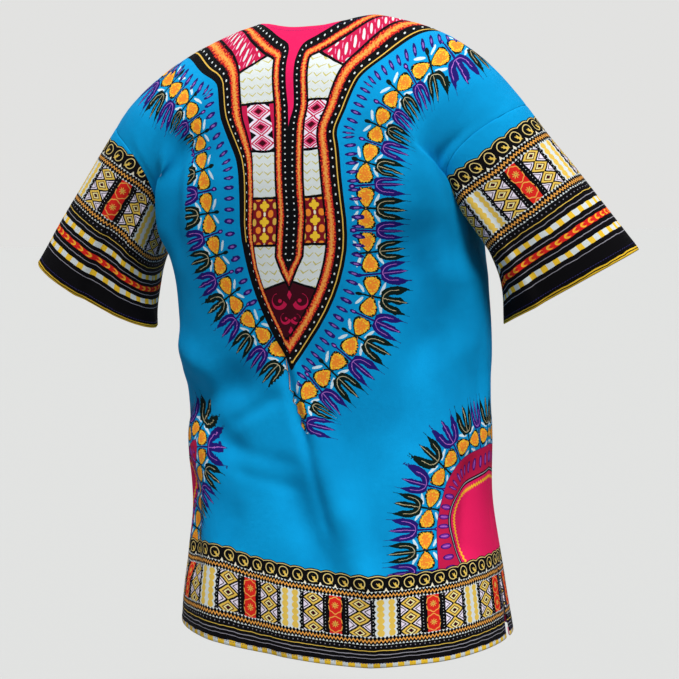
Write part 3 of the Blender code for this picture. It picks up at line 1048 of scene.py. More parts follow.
@dataclass(frozen=True)
class BodyPrint:
    """Where the main lines of the body's print run, in flat millimetres.

    A line's places are across from the middle and down from the shoulder. The tables that end in _left are
    for the wearer's left, and the print was laid a little unevenly, so the right has tables of its own.
    """

    neck_left: tuple = (
        (161, 13), (129.5, 41.5), (96, 62), (90, 83), (87, 103), (79, 128),
        (63, 157), (55, 176), (52, 205), (58, 275), (38, 345), (0, 417),
    )
    neck_right: tuple = (
        (152, 4), (119.5, 34), (104, 50), (85, 71), (79, 86), (73, 104), (68, 122), (60, 144),
        (64, 165), (66, 200), (71, 275), (51, 345), (0, 417),
    )
    placket: tuple = (
        (74, 0), (58, 13), (42, 22), (27, 30), (10, 36), (6, 43), (5, 60), (4.5, 105), (0, 137), (0, 304),
    )
    wreath_left: tuple = (
        (206, -20), (198, 25), (168, 63), (141, 88), (130, 130), (126, 162), (118, 190), (114, 218),
        (113, 242), (108, 264), (103, 290), (97, 311), (89, 332), (76, 351), (60, 367), (41, 385),
        (25, 400), (8, 417), (0, 425),
    )
    wreath_right: tuple = (
        (198, -40), (192, 4), (182, 34), (160, 56), (141, 82), (127, 108), (118, 140), (106, 172), (98, 196),
        (99, 221), (97.5, 247), (96, 270), (100, 317), (99, 334), (93, 353), (81.5, 375), (70, 394),
        (52, 414), (30, 435.5), (12, 450), (2, 468), (-3, 490),
    )
    mitre: tuple = ((300, 0), (337, 15), (417, 0))
    mitre_width: float = 8.0
    sharp: float = 0.01
    wreath_starts: tuple = (30.0, -29.5)
    wreath_shown: tuple = (39.0, -40.0)
    wreath_split: tuple = ((340, 0), (383, 12), (399, 15), (444, 14.6), (459, 10.4), (495, 0), (542, -17))
    field_left: tuple = (
        (290, 582), (240, 572), (218, 563), (205, 562), (196, 568), (194, 582), (205, 609), (222, 632),
        (236, 652), (240, 680),
    )
    field_right: tuple = ((290, 572), (243, 579), (207, 594), (193, 613), (193, 635), (205, 672))
    petals_left: tuple = (
        (290, 545), (222, 537), (204, 526), (188, 518), (174, 519), (164, 529), (160, 543), (164, 562),
        (175, 588), (194, 618), (206, 648), (209, 680),
    )
    petals_right: tuple = (
        (290, 524), (237, 528), (219, 532), (205, 538), (192, 547), (176, 564),
        (168, 585), (160, 609), (156, 634), (155, 672),
    )
    neck_sway: tuple = ((0, 0), (280, 0), (345, 3), (417, 6.5))
    placket_sway: tuple = ((0, 9), (55, 4), (110, -5), (240, -7), (305, 2), (420, 6))
    hidden_far: float = 99.0
    tuck_line: tuple = ((100, 150), (170, 140.7), (244, 149), (300, 160))
    tuck_width: tuple = ((110, 0), (160, 30), (215, 28), (245, 10), (275, 0))
    border_rise: tuple = (
        (-290, -9), (-123, -9), (-63, -5), (0, -1.5), (53, 1), (107, 7), (150, 4), (210, -7), (290, -7),
    )
    border_across: tuple = (324, 262, 201, 136, 67, 12, -44, -106, -162, -217, -272, -330)
    border_places: tuple = (-295, -236, -177, -118, -59, 0, 59, 118, 177, 236, 295, 354)

    def fields(self, flat: np.ndarray) -> dict[str, np.ndarray]:
        """How each place lies to the main lines.

        Args:
            flat: flat places, across and up, in metres.

        Returns:
            For each line its attribute: along it, off it to the outside, and along the hem's border.
        """
        across = flat[..., 0] / MM
        down = (CUT.length - flat[..., 1]) / MM
        border = np.interp(-across, -np.array(self.border_across), self.border_places)
        rise = np.interp(across, *zip(*self.border_rise))
        made = {}
        for name, lines, sway, mitre, width in (
            ("neck", (self.neck_left, self.neck_right), self.neck_sway, self.mitre, self.mitre_width),
            ("placket", (self.placket, self.placket), self.placket_sway, ((0, 0),), self.sharp),
        ):
            swayed = across - np.interp(down, *zip(*sway))
            left, right = (
                Outline(line).read(np.stack([side * swayed, down], -1)) for side, line in zip((1, -1), lines)
            )
            split = np.interp(down, *zip(*mitre))
            share = np.clip((swayed - split) / width + 0.5, 0, 1)
            both = [a * share + b * (1 - share) for a, b in zip(left, right)]
            made[name] = np.stack([*both, swayed if name == "placket" else rise], -1)
        made["wreath"] = np.stack([*self.wreath(across, down), border], -1)
        places = np.stack([np.abs(across), down], -1)
        (along, off), (_, field) = (
            self.nearer(across > 0, *(Outline(line).read(places) for line in lines))
            for lines in ((self.petals_left, self.petals_right), (self.field_left, self.field_right))
        )
        made["medallion"] = np.stack([along, -off, -field], -1)
        return made

    @staticmethod
    def nearer(on_left: np.ndarray, left: tuple, right: tuple) -> list[np.ndarray]:
        """Each number from the left where that holds, else from the right."""
        return [np.where(on_left, a, b) for a, b in zip(left, right)]

    def wreath(self, across: np.ndarray, down: np.ndarray) -> list[np.ndarray]:
        """How places lie to the wreath, part of which a tuck of the cloth hides.

        Args:
            across: how far places are across from the middle, in millimetres.
            down: how far they are down from the shoulder.

        Returns:
            How far each is along the wreath from its tip, and how far off its line.
        """
        tuck = np.interp(down, *zip(*self.tuck_width)) * (across > np.interp(down, *zip(*self.tuck_line)))
        made = []
        for side, line, start, shown in zip(
            (1, -1), (self.wreath_left, self.wreath_right), self.wreath_starts, self.wreath_shown
        ):
            along, off = Outline(line).read(np.stack([side * across, down], -1))
            hidden = along + start < shown
            off = off + np.where(hidden, self.hidden_far, 0) + tuck
            made.append((along + start, off))
        return self.nearer(across > np.interp(down, *zip(*self.wreath_split)), *made)


PRINT = BodyPrint()


class Ink(Enum):
    """The inks of the print, as shown in daylight."""

    BLUE = "0598d4"
    DEEP_BLUE = "038bc4"
    BLACK = "08070a"
    GREEN_BLACK = "071a16"
    NAVY = "20166a"
    PURPLE = "7a2a96"
    LAVENDER = "ae68c2"
    VIOLET = "8a5cae"
    STRAW = "b8ab86"
    OLIVE = "c4bb6c"
    PALE_BLUE = "cfe2ea"
    PINK = "e01d5b"
    ROSE = "f08ab4"
    CRIMSON = "bf1a48"
    MAROON = "3d0a18"
    RED = "d8261f"
    DARK_RED = "7c1420"
    ORANGE = "f0892c"
    YELLOW = "f2c332"
    GOLD = "dcb14c"
    PALE_GOLD = "dcc47c"
    AMBER = "e8a24a"
    CORN = "e2bd52"
    BROWN = "5a2b18"
    PALE_YELLOW = "efe3a0"
    CREAM = "f0e6cc"
    WHITE = "d5dbd9"
    EMBER = "e07a36"
    LILAC_WHITE = "e8dcea"
    GREY = "9a97a0"

    @property
    def rgba(self) -> tuple[float, float, float, float]:
        """The ink in linear light."""
        shown = (int(self.value[i : i + 2], 16) / 255 for i in (0, 2, 4))
        return (*(c / 12.92 if c <= 0.04045 else ((c + 0.055) / 1.055) ** 2.4 for c in shown), 1.0)


def sum_of(operation: str, turned: bool = False) -> Callable[..., "Number"]:
    """A method that works out one sum of a number and what it is given.

    Args:
        operation: the sum's name.
        turned: whether the number itself comes last.

    Returns:
        The method.
    """

    def method(self: "Number", *others: "Number | float") -> "Number":
        """The sum."""
        values = (*others, self) if turned else (self, *others)
        return self.nodes.math(operation, *values)

    return method


class Number:
    """A number that shader nodes work out, used in sums and comparisons like a plain one.

    A comparison or a mask is 1 where it holds and 0 elsewhere: & is both, | is either and ~ is not. NEAR is
    where it is within a half width of a value, and FOLD runs back and forth between 0 and a half period."""

    __add__ = __radd__ = sum_of("ADD")
    __sub__ = sum_of("SUBTRACT")
    __rsub__ = sum_of("SUBTRACT", turned=True)
    __mul__ = __rmul__ = __and__ = sum_of("MULTIPLY")
    __mod__ = sum_of("FLOORED_MODULO")
    __lt__ = sum_of("LESS_THAN")
    __gt__ = sum_of("GREATER_THAN")
    __or__ = at_least = sum_of("MAXIMUM")
    __abs__ = sum_of("ABSOLUTE")
    at_most = sum_of("MINIMUM")
    near = sum_of("COMPARE")
    fold = sum_of("PINGPONG")

    def __init__(self, nodes: "Nodes", socket: bpy.types.NodeSocket) -> None:
        """Keeps the socket that gives the number."""
        self.nodes = nodes
        self.socket = socket

    def __truediv__(self, other: "Number | float") -> "Number":
        """The quotient."""
        return self.nodes.math("DIVIDE", self, other) if isinstance(other, Number) else self * (1 / other)

    def __invert__(self) -> "Number":
        """Where it doesn't hold."""
        return 1 - self

    def within(self, step: float) -> "Number":
        """How far past the middle of its step it is, in even steps."""
        return self % step - step / 2

    def between(self, low: float, high: float) -> "Number":
        """Where it lies between the two."""
        return (self > low) & (self < high)

    def ramp(self, low: float, high: float) -> "Number":
        """0 at low, 1 at high, straight between and level outside."""
        node = self.nodes.put("ShaderNodeMapRange", {"Value": self, "From Min": low, "From Max": high})
        return Number(self.nodes, node.outputs["Result"])

    def oval(self, other: "Number", half: float, other_half: float) -> "Number":
        """How far out a place lies in an oval about 0: 1 on its edge."""
        across, along = self / half, other / other_half
        return self.nodes.math("SQRT", self.nodes.math("MULTIPLY_ADD", across, across, along * along))


class Nodes:
    """Writes the nodes of one material or group."""

    def __init__(self, tree: bpy.types.NodeTree) -> None:
        """Keeps the tree."""
        self.tree = tree

    def put(self, kind: str, feeds: dict | None = None, **settings: object) -> bpy.types.Node:
        """Adds a node.

        Args:
            kind: what it is.
            feeds: what goes into its inputs, by their names or numbers.
            settings: its own settings.

        Returns:
            The node.
        """
        node = self.tree.nodes.new(kind)
        for name, value in settings.items():
            setattr(node, name, value)
        for name, value in (feeds or {}).items():
            self.feed(node.inputs[name], value)
        return node

    def feed(self, socket: bpy.types.NodeSocket, value: object) -> None:
        """Gives an input its value, or links it.

        Args:
            socket: the input.
            value: a plain value or an ink, or the number or socket to link.
        """
        if isinstance(value, (Number, bpy.types.NodeSocket)):
            self.tree.links.new(value.socket if isinstance(value, Number) else value, socket)
        else:
            socket.default_value = value.rgba if isinstance(value, Ink) else value

    def math(self, operation: str, *values: Number | float) -> Number:
        """One sum of the values."""
        node = self.put("ShaderNodeMath", dict(enumerate(values)), operation=operation)
        return Number(self, node.outputs[0])

    def blend(
        self, share: Number | float, base: "Ink | bpy.types.NodeSocket", over: "Ink | bpy.types.NodeSocket"
    ) -> bpy.types.NodeSocket:
        """The second colour over the first, as far as its share says."""
        return self.put("ShaderNodeMix", {0: share, 6: base, 7: over}, data_type="RGBA").outputs[2]

    def split(self, vector: bpy.types.NodeSocket) -> list[Number]:
        """The three numbers of a vector."""
        return [Number(self, output) for output in self.put("ShaderNodeSeparateXYZ", {0: vector}).outputs]

    def attribute(self, name: str) -> list[Number]:
        """The three numbers of an attribute of the piece."""
        return self.split(self.put("ShaderNodeAttribute", attribute_name=name).outputs["Vector"])

    def noise(self, vector: bpy.types.NodeSocket, cell: float, detail: float = 1) -> bpy.types.Node:
        """A noise over the flat cloth, with swells about a cell wide."""
        feeds = {"Vector": vector, "Scale": 1 / cell, "Detail": detail}
        return self.put("ShaderNodeTexNoise", feeds, noise_dimensions="2D")

    def cloud(self, vector: bpy.types.NodeSocket, cell: float, detail: float) -> Number:
        """The same noise as one number."""
        return Number(self, self.noise(vector, cell, detail).outputs["Fac"])

    def group(self, motif: "Motif", *given: "Number | float") -> bpy.types.Node:
        """A motif's own group of nodes, fed with the numbers that it is drawn from."""
        return self.put("ShaderNodeGroup", dict(zip(motif.given, given)), node_tree=motif.tree())


class Painter:
    """Paints inks over one another where their masks are 1."""

    def __init__(self, nodes: Nodes, ground: "Ink | bpy.types.NodeSocket") -> None:
        """Starts from a ground."""
        self.nodes = nodes
        self.colour = ground

    def paint(self, ink: "Ink | bpy.types.NodeSocket", where: Number) -> Number:
        """Paints one shape in an ink, and gives its mask again."""
        self.colour = self.nodes.blend(where, self.colour, ink)
        return where

    def stamp(self, motif: "Motif", along: Number, off: Number, third: Number | float) -> None:
        """Paints a motif at its two coordinates in millimetres and the third number that it may use."""
        node = self.nodes.group(motif, along, off, third)
        self.paint(node.outputs["Colour"], Number(self.nodes, node.outputs["Mask"]))


class Motif:
    """A piece of the print, drawn in two coordinates in millimetres, kept as one node group."""

    given = ("Along", "Off", "Third")

    def draw(self, painter: Painter, along: Number, off: Number, third: Number) -> Number | float:
        """Draws it.

        Args:
            painter: paints it.
            along: the first coordinate.
            off: the second coordinate.
            third: one more number that it may use.

        Returns:
            Its mask.
        """
        raise NotImplementedError

    def tree(self) -> bpy.types.ShaderNodeTree:
        """Draws the motif into a node group, once.

        Returns:
            The group.
        """
        name = type(self).__name__ + str(hash(self) % 997)
        made = bpy.data.node_groups.get(name)
        if made:
            return made
        made = bpy.data.node_groups.new(name, "ShaderNodeTree")
        for socket in self.given:
            made.interface.new_socket(socket, in_out="INPUT", socket_type="NodeSocketFloat")
        made.interface.new_socket("Colour", in_out="OUTPUT", socket_type="NodeSocketColor")
        made.interface.new_socket("Mask", in_out="OUTPUT", socket_type="NodeSocketFloat")
        nodes = Nodes(made)
        places = nodes.put("NodeGroupInput").outputs
        painter = Painter(nodes, Ink.BLACK)
        mask = self.draw(painter, *(Number(nodes, places[name]) for name in self.given))
        nodes.put("NodeGroupOutput", {"Colour": painter.colour, "Mask": mask})
        return made


@dataclass(frozen=True)
class RingRow(Motif):
    """A black row of gold rings, each with a sprig of three leaves, under a scalloped line."""

    pitch: float = 118 / 6
    height: float = 22.0
    scallop: float = 2.6
    ring: float = 6.6
    centre: float = 12.0
    line: float = 0.09
    sprig: tuple = (2.4, 2.6)
    tooth: float = 4.2

    def draw(self, painter: Painter, along: Number, off: Number, third: Number) -> Number:
        """Draws it.

        Args:
            painter: paints it.
            along: millimetres along the row.
            off: down from the top of the scallops.
            third: not used.

        Returns:
            Its mask.
        """
        paint = painter.paint
        from_ring = along.within(self.pitch)
        bump = from_ring / (self.pitch / 2)
        edge = bump * bump * self.scallop
        inside = (off > edge) & (off < self.height)
        paint(Ink.PALE_GOLD, off.near(edge + 1.8, 0.5))
        away = from_ring.oval(off - self.centre, self.ring * 0.95, self.ring)
        paint(Ink.PALE_GOLD, away.near(1, self.line))
        sprig_across, sprig_off = from_ring - self.sprig[0], off - self.centre - self.sprig[1]
        middle = (sprig_across - sprig_off).oval(sprig_off + sprig_across, 1.2, 7.0)
        paint(Ink.CORN, middle < 1)
        for slant in (0.1, 6.0):
            leaf_long = sprig_off + sprig_across * slant
            leaf = (sprig_across - sprig_off * slant).oval(leaf_long, slant * 0.7 + 0.7, 16.0)
            paint(Ink.CORN, (leaf < 1) & (sprig_across.oval(sprig_off, 3.6, 3.6) < 1))
        gap = (along + self.pitch / 2).within(self.pitch)
        foot = off - (self.height - self.tooth)
        paint(Ink.CREAM, (abs(gap) < foot * 0.5) & (off < self.height))
        return inside


@dataclass(frozen=True)
class Zigzag(Motif):
    """White teeth on black over and under an orange zigzag."""

    pitch: float = 118 / 26
    height: float = 11.0

    def draw(self, painter: Painter, along: Number, off: Number, third: Number) -> Number:
        """Draws it.

        Args:
            painter: paints it.
            along: millimetres along the row.
            off: down from its top.
            third: not used.

        Returns:
            Its mask.
        """
        tooth = along.fold(self.pitch / 2)
        line = off - tooth * 1.5
        painter.paint(Ink.AMBER, line.near(self.height / 2 - 1.7, 1.15))
        from_edge = self.height / 2 - abs(off - self.height / 2)
        painter.paint(Ink.WHITE, (tooth - from_edge * 0.75) > 0.5)
        return off.between(0, self.height)


@dataclass(frozen=True)
class PanelRow(Motif):
    """Upright panels by turns: barred white, diamonds, red roundels, diamonds, with dotted bars between."""

    half_period: float = 59.0
    height: float = 48.0
    bar: float = 12.0
    divider: float = 18.0
    diamonds: float = 43.0
    second_divider: float = 50.4
    diamond_pitch: float = 18.6
    diamond_reaches: tuple = (1.24, 0.97, 0.66, 0.50, 0.30)
    lobe: float = 8.0

    def draw(self, painter: Painter, along: Number, off: Number, third: Number) -> Number:
        """Draws it.

        Args:
            painter: paints it.
            along: millimetres along the row.
            off: down from its top.
            third: not used.

        Returns:
            Its mask.
        """
        place = along.fold(self.half_period)
        dots = off.within(4.2).oval(abs(place - 30.7) - 15.6, 0.45, 0.5)
        painter.paint(Ink.WHITE, dots < 1)
        part = off.within(self.lobe) / (self.lobe / 2)
        lobe = 1 - part * part
        painter.paint(Ink.WHITE, place < lobe * 2.2 + self.bar - 0.6)
        painter.paint(Ink.CORN, place.near(6.6, lobe * 2.3 + 1.9))
        self.diamond_panel(painter, place, off)
        self.roundels(painter, place, off)
        return off.between(0, self.height)

    def diamond_panel(self, painter: Painter, place: Number, off: Number) -> None:
        """Draws the upright row of diamonds.

        Args:
            painter: paints it.
            place: millimetres into the row, there and back.
            off: down from its top.
        """
        paint = painter.paint
        middle = (self.divider + self.diamonds) / 2
        row = (off + 2.6).within(self.diamond_pitch)
        out = abs(place - middle) / 12.4 + abs(row) / (self.diamond_pitch / 2)
        box = place.near(middle, (self.diamonds - self.divider) / 2)
        paint(Ink.LILAC_WHITE, box)
        inks = (Ink.BLACK, Ink.CORN, Ink.BROWN, Ink.PALE_YELLOW, Ink.MAROON)
        for ink, reach in zip(inks, self.diamond_reaches):
            paint(ink, box & (out < reach))
        paint(Ink.BLACK, box & out.near(1.50, 0.07))

    def roundels(self, painter: Painter, place: Number, off: Number) -> None:
        """Draws two lobed roundels, each round a small flower.

        Args:
            painter: paints them.
            place: millimetres into the row, there and back.
            off: down from its top.
        """
        paint = painter.paint
        panel = place > self.second_divider
        paint(Ink.RED, panel)
        across, down = place - self.half_period, off.within(24)
        lobes = painter.nodes.math("COSINE", painter.nodes.math("ARCTAN2", down, across) * 8)
        round_way = across.oval(down, 9.2, 10.8)
        paint(Ink.BLACK, place.near(self.second_divider + 0.6, 0.6))
        paint(Ink.AMBER, panel & round_way.near(lobes * 0.05 + 0.95, 0.06))
        flower = across.oval(down, 4.6, 4.6)
        paint(Ink.GOLD, panel & (flower < lobes * 0.38 + 0.62))
        paint(Ink.MAROON, panel & (flower < 0.12))


@dataclass(frozen=True)
class Wreath(Motif):
    """A wreath of blossoms on short stems with tulips standing outwards."""

    half_period: float = 26.0
    stem_half: float = 1.15
    bud_in: float = 15.5
    blossom_at: float = 12.4
    blossom_half: float = 10.6
    blossom_reach: float = 8.4
    leaf_at: float = 9.4
    leaf_off: float = 13.2
    prong: float = 0.43
    stem_high: float = 14.0
    cup_width: float = 8.6
    cup_height: float = 13.0
    tulip: float = 33.0

    def draw(self, painter: Painter, along: Number, off: Number, third: Number) -> Number:
        """Draws it.

        Args:
            painter: paints it.
            along: millimetres along the wreath.
            off: outwards from the middle of the blossoms.
            third: small uneven numbers.

        Returns:
            Its mask.
        """
        paint = painter.paint
        place = along.fold(self.half_period)
        dark = place < self.half_period / 2
        stem = place.at_most(self.half_period - place)
        line = painter.nodes.blend(dark, Ink.NAVY, Ink.GREEN_BLACK)
        light = painter.nodes.blend(dark, Ink.LAVENDER, Ink.STRAW)
        drawn = paint(line, (stem < self.stem_half) & off.near(-1, 15))
        bud = stem.oval(off + self.bud_in, 2.5, 4.6)
        drawn = drawn | paint(line, bud < 1)
        paint(light, (bud < 0.42) & ~dark)
        broad = (place - self.blossom_at) / self.blossom_half
        reach = off / (broad * 3.6 + self.blossom_reach)
        blossom = painter.nodes.math("MULTIPLY_ADD", reach, reach, broad * broad)
        blossom = blossom + third * 0.5
        drawn = drawn | paint(Ink.GREEN_BLACK, (blossom < 1.5) & (place < 24.0) & (place > 1.2))
        paint(Ink.YELLOW, blossom < 1.0)
        paint(Ink.ORANGE, (blossom + third * 1.8) < 0.62)
        far = abs(off) - self.leaf_off
        from_leaf = place - self.leaf_at
        leaf = (from_leaf * 0.87 + far * 0.5).oval(far * 0.87 - from_leaf * 0.5, 7.0, 1.8)
        drawn = drawn | paint(Ink.PALE_BLUE, leaf < 1)
        up = off - self.stem_high
        cup = stem.oval((self.cup_height - up).at_least(0), self.cup_width, self.cup_height)
        tip = up.ramp(self.cup_height + 6, self.tulip)
        prong = abs(cup - 1 - up.ramp(self.cup_height, self.tulip) * 0.16) + tip * 0.4
        body = (up > -2.5) & (prong < self.prong)
        middle = (stem + up.ramp(22, self.tulip + 4) * 3.2) < 2.9
        body = body | (middle & up.near(self.tulip / 2 + 2.5, self.tulip / 2 + 2))
        drawn = drawn | paint(line, body)
        core = ((stem < 0.34) & up.near(self.tulip / 2, self.tulip / 2 - 1)) | ((prong < 0.037) & (up > -0.5))
        paint(light, core)
        return drawn & off.near(15, 39)


@dataclass(frozen=True)
class Lenses(Motif):
    """A row of navy lenses with a lighter core."""

    pitch: float = 13.5
    half_length: float = 7.9
    half_width: float = 3.0

    def draw(self, painter: Painter, along: Number, off: Number, third: Number) -> Number:
        """Draws it.

        Args:
            painter: paints it.
            along: millimetres along the row.
            off: along the lenses from their middle.
            third: not used.

        Returns:
            Its mask.
        """
        from_lens = along.within(self.pitch)
        out = (from_lens + off * 0.08).oval(off, self.half_width, self.half_length)
        painter.paint(Ink.NAVY, out < 1)
        painter.paint(Ink.VIOLET, out < 0.42)
        return out < 1


@dataclass(frozen=True)
class DottedBand(Motif):
    """A black band with white dots beside a mottled glowing band and a black line."""

    pitch: float = 10.6
    dots_at: float = 6.2
    dot: float = 1.3
    glow_low: float = 12.0
    glow_high: float = 26.0
    end: float = 29.5

    def draw(self, painter: Painter, along: Number, off: Number, third: Number) -> Number:
        """Draws it.

        Args:
            painter: paints it.
            along: millimetres along the band.
            off: inwards from its dotted edge.
            third: the mottling.

        Returns:
            Its mask.
        """
        paint = painter.paint
        dots = along.within(self.pitch).oval(off - self.dots_at, self.dot, self.dot)
        paint(Ink.WHITE, dots < 1)
        middle = (self.glow_low + self.glow_high) / 2
        half = (self.glow_high - self.glow_low) / 2
        glow = abs(off - middle) / half
        ragged = glow + third
        paint(Ink.DARK_RED, glow < 1)
        paint(Ink.RED, ragged < 0.80)
        paint(Ink.EMBER, ragged < 0.56)
        paint(Ink.AMBER, ragged < 0.20)
        return off.near(self.end / 2, self.end / 2)


@dataclass(frozen=True)
class Column(Motif):
    """What fills the tall panels beside the neck slit."""

    ends: tuple = (103.0, 163.0, 219.0, 275.0, 326.0)
    rule: float = 1.6
    scrolls: tuple = ((14.5, 341.0, 9.0), (7.0, 362.0, 6.2))
    knots: tuple = ((334, 0.5, 3.0), (378, 0.6, 3.6))

    def draw(self, painter: Painter, along: Number, off: Number, third: Number) -> float:
        """Draws it.

        Args:
            painter: paints it.
            along: millimetres down from the shoulder.
            off: sideways from the panel's middle.
            third: how far off the centre line it is.

        Returns:
            Its mask.
        """
        paint = painter.paint
        first, second, third_end, fourth, last = self.ends
        painter.colour = Ink.WHITE
        slope = off.fold(5.6)
        chevron = (along - slope * 0.75) % 9.8
        paint(Ink.OLIVE, (chevron < slope * 0.16 + 1.1) & (slope > 0.8))
        step = (second - first) / 3
        row = (along - first).within(step)
        out = abs(off) / 13.5 + abs(row) / (step / 2)
        spread = along.near((first + second) / 2, (second - first) / 2)
        paint(Ink.LILAC_WHITE, spread)
        paint(Ink.CRIMSON, spread & out.near(1.04, 0.10))
        paint(Ink.CRIMSON, spread & (out < 0.80))
        paint(Ink.ROSE, spread & out.near(0.58, 0.05))
        paint(Ink.MAROON, spread & (out < 0.36))
        paint(Ink.BLACK, spread & (out > 1.52))
        paint(Ink.CRIMSON, spread & (abs(off) > 14.5))
        step = (fourth - third_end) / 3
        row = abs((along - third_end).within(step))
        side = abs(off)
        high, low = side.at_least(row), side.at_most(row)
        flowers = along.near((fourth + third_end) / 2, (fourth - third_end) / 2)
        paint(Ink.DARK_RED, flowers)
        paint(Ink.ORANGE, flowers & (abs(side - 8.0).oval(row - 8.5, 3.4, 3.4) < 1))
        paint(Ink.GOLD, flowers & ((side - 13.5).oval(row, 2.6, 4.2) < 1))
        paint(Ink.YELLOW, flowers & (((high - 3.2).oval(low, 3.0, 2.7) < 1) | (high < 2.6)))
        paint(Ink.CREAM, flowers & (side.oval(row - 8.6, 1.5, 1.9) < 1))
        ends = self.ends[:-1] + (last - 9 + third * 0.34,)
        paint(Ink.MAROON, along > ends[-1])
        scroll = Painter(painter.nodes, painter.colour)
        for at_side, at_down, curl in self.scrolls:
            over, below = third - at_side, along - at_down
            coil = over.oval(below, curl, curl)
            thick = (below - over) / curl * 0.10 + 0.16
            scroll.paint(Ink.CRIMSON, coil.near(0.95, thick) & ((over + below) > curl * -0.7))
            scroll.paint(Ink.CRIMSON, (over + curl * 0.2).oval(below, curl * 0.28, curl * 0.28) < 1)
        for at_down, slope, half in self.knots:
            scroll.paint(Ink.CRIMSON, (third + abs(along - at_down) * slope) < half)
        paint(scroll.colour, along > last + 2)
        for end in ends:
            paint(Ink.BLACK, along.near(end, self.rule))
        return 1.0


@dataclass(frozen=True)
class Collar(Motif):
    """The pink strip round the neck with white petals."""

    pitch: float = 8.6

    def draw(self, painter: Painter, along: Number, off: Number, third: Number) -> float:
        """Draws it.

        Args:
            painter: paints it.
            along: millimetres along the strip.
            off: across it from its middle.
            third: not used.

        Returns:
            Its mask.
        """
        painter.colour = Ink.CRIMSON
        slanted = along + off * 0.25
        petal = slanted.within(self.pitch).oval(off, 1.6, 5.4)
        painter.paint(Ink.WHITE, petal < 1)
        fleck = (slanted + self.pitch / 2).within(self.pitch).oval(abs(off) - 6.0, 0.6, 2.6)
        painter.paint(Ink.ROSE, fleck < 1)
        bead = (along + 3).within(8).oval(abs(off) - 11.5, 2.4, 1.1)
        painter.paint(Ink.WHITE, bead < 1)
        return 1.0


@dataclass(frozen=True)
class Medallion(Motif):
    """The pink field at the side seam with its dashed ring."""

    ring_end: float = -14.5
    pitch: float = 14.0
    glow: float = -8.5

    def draw(self, painter: Painter, along: Number, off: Number, third: Number) -> Number:
        """Draws it.

        Args:
            painter: paints it.
            along: millimetres along the blossoms' line.
            off: outwards from that line.
            third: outwards from the field's line.

        Returns:
            Its mask.
        """
        paint = painter.paint
        painter.colour = Ink.PINK
        paint(Ink.CRIMSON, third > 0)
        wave = along.fold(2.6) - 1.3
        for ink, half in ((Ink.ORANGE, 2.1), (Ink.YELLOW, 0.9)):
            paint(ink, (third + wave).near(self.glow, half))
        for ink, at, half in ((Ink.BLACK, 0.6, 2.6), (Ink.GREY, 0.8, 0.7)):
            paint(ink, third.near(at, half))
        across = (third + off - self.ring_end) * 0.5
        lens = along.within(self.pitch).oval(across, 3.7, 8.4)
        paint(Ink.NAVY, lens < 1)
        paint(Ink.PURPLE, lens < 0.76)
        core = along.within(self.pitch).oval(across, 0.8, 5.6)
        paint(Ink.LAVENDER, core < 1)
        paint(Ink.NAVY, off.near(self.ring_end, 1.0))
        return (off < self.ring_end) | (third < 0)


@dataclass(frozen=True)
class HemLines(Motif):
    """The thin lines and the checked edge under the panel row."""

    height: float = 31.0
    lines: tuple = ((Ink.CORN, 7.6, 0.45), (Ink.GREY, 12.6, 0.5), (Ink.GREY, 17.4, 0.35))
    edge_at: float = 27.4
    edge_half: float = 3.6
    check: float = 14.5

    def draw(self, painter: Painter, along: Number, off: Number, third: Number) -> Number:
        """Draws them.

        Args:
            painter: paints it.
            along: millimetres along the hem.
            off: down from their top.
            third: not used.

        Returns:
            Their mask.
        """
        paint = painter.paint
        dots = along.within(6).oval(off - 3.2, 0.7, 0.7)
        paint(Ink.GREY, dots < 1)
        for ink, at, half in self.lines:
            paint(ink, off.near(at, half))
        edge = off.near(self.edge_at, self.edge_half)
        paint(Ink.WHITE, edge)
        paint(Ink.YELLOW, edge & ((along % self.check) < 8.0))
        return off.between(0, self.height)


@dataclass(frozen=True)
class CuffLines(Motif):
    """The stripes between a sleeve's panel row and its cuff."""

    height: float = 130.0
    lines: tuple = (15.5, 34.5, 52.5, 73.0)
    stripes: tuple = (25.0, 63.0)
    stripe_half: float = 3.7
    check: float = 16.0
    chain_at: float = 43.0
    link: float = 12.2

    def draw(self, painter: Painter, along: Number, off: Number, third: Number) -> Number:
        """Draws them.

        Args:
            painter: paints it.
            along: millimetres round the sleeve.
            off: down from their top.
            third: where the first cuff line lies.

        Returns:
            Their mask.
        """
        paint = painter.paint
        dots = along.within(6.6).oval(off - 4.5, 0.7, 0.7)
        paint(Ink.GREY, dots < 1)
        paint(Ink.CORN, off.near(9.5, 0.45))
        for at in self.lines:
            paint(Ink.GREY, off.near(at, 0.45))
        for at in self.stripes:
            stripe = off.near(at, self.stripe_half)
            paint(Ink.WHITE, stripe)
            paint(Ink.YELLOW, stripe & ((along % self.check) < 7.4))
        chain = off.near(self.chain_at, 3.8)
        paint(Ink.RED, chain)
        link = along % self.link - 5.0
        paint(Ink.ORANGE, chain & (link.oval(off - self.chain_at, 4.6, 3.4) < 1))
        paint(Ink.YELLOW, chain & (link.oval(off - self.chain_at, 4.0, 2.8).near(0.85, 0.16)) & (link < 1.5))
        paint(Ink.RED, chain & ((link - 2.4).oval(off - self.chain_at, 3.0, 1.9) < 1))
        paint(Ink.YELLOW, off.near(third, 0.9))
        paint(Ink.YELLOW, off.near(third + 3.6, 1.3))
        return off.between(0, self.height)


@dataclass(frozen=True)
class PlainWeave(Motif):
    """The weave of the cotton as a shader node group: a height from flat places, for its bumps and its
    painted light and shade.
    """

    def draw(self, painter: Painter, along: Number, off: Number, third: Number) -> Number:
        """Works out the height.

        Args:
            painter: gives the nodes.
            along: millimetres across the cloth.
            off: millimetres up the cloth.
            third: the pitch.

        Returns:
            The height, in place of a mask.
        """
        nodes = painter.nodes
        turn = math.pi * 2
        warp = nodes.math("SINE", along / third * turn)
        weft = nodes.math("SINE", off / third * turn)
        return warp * weft * 0.5 + 0.5


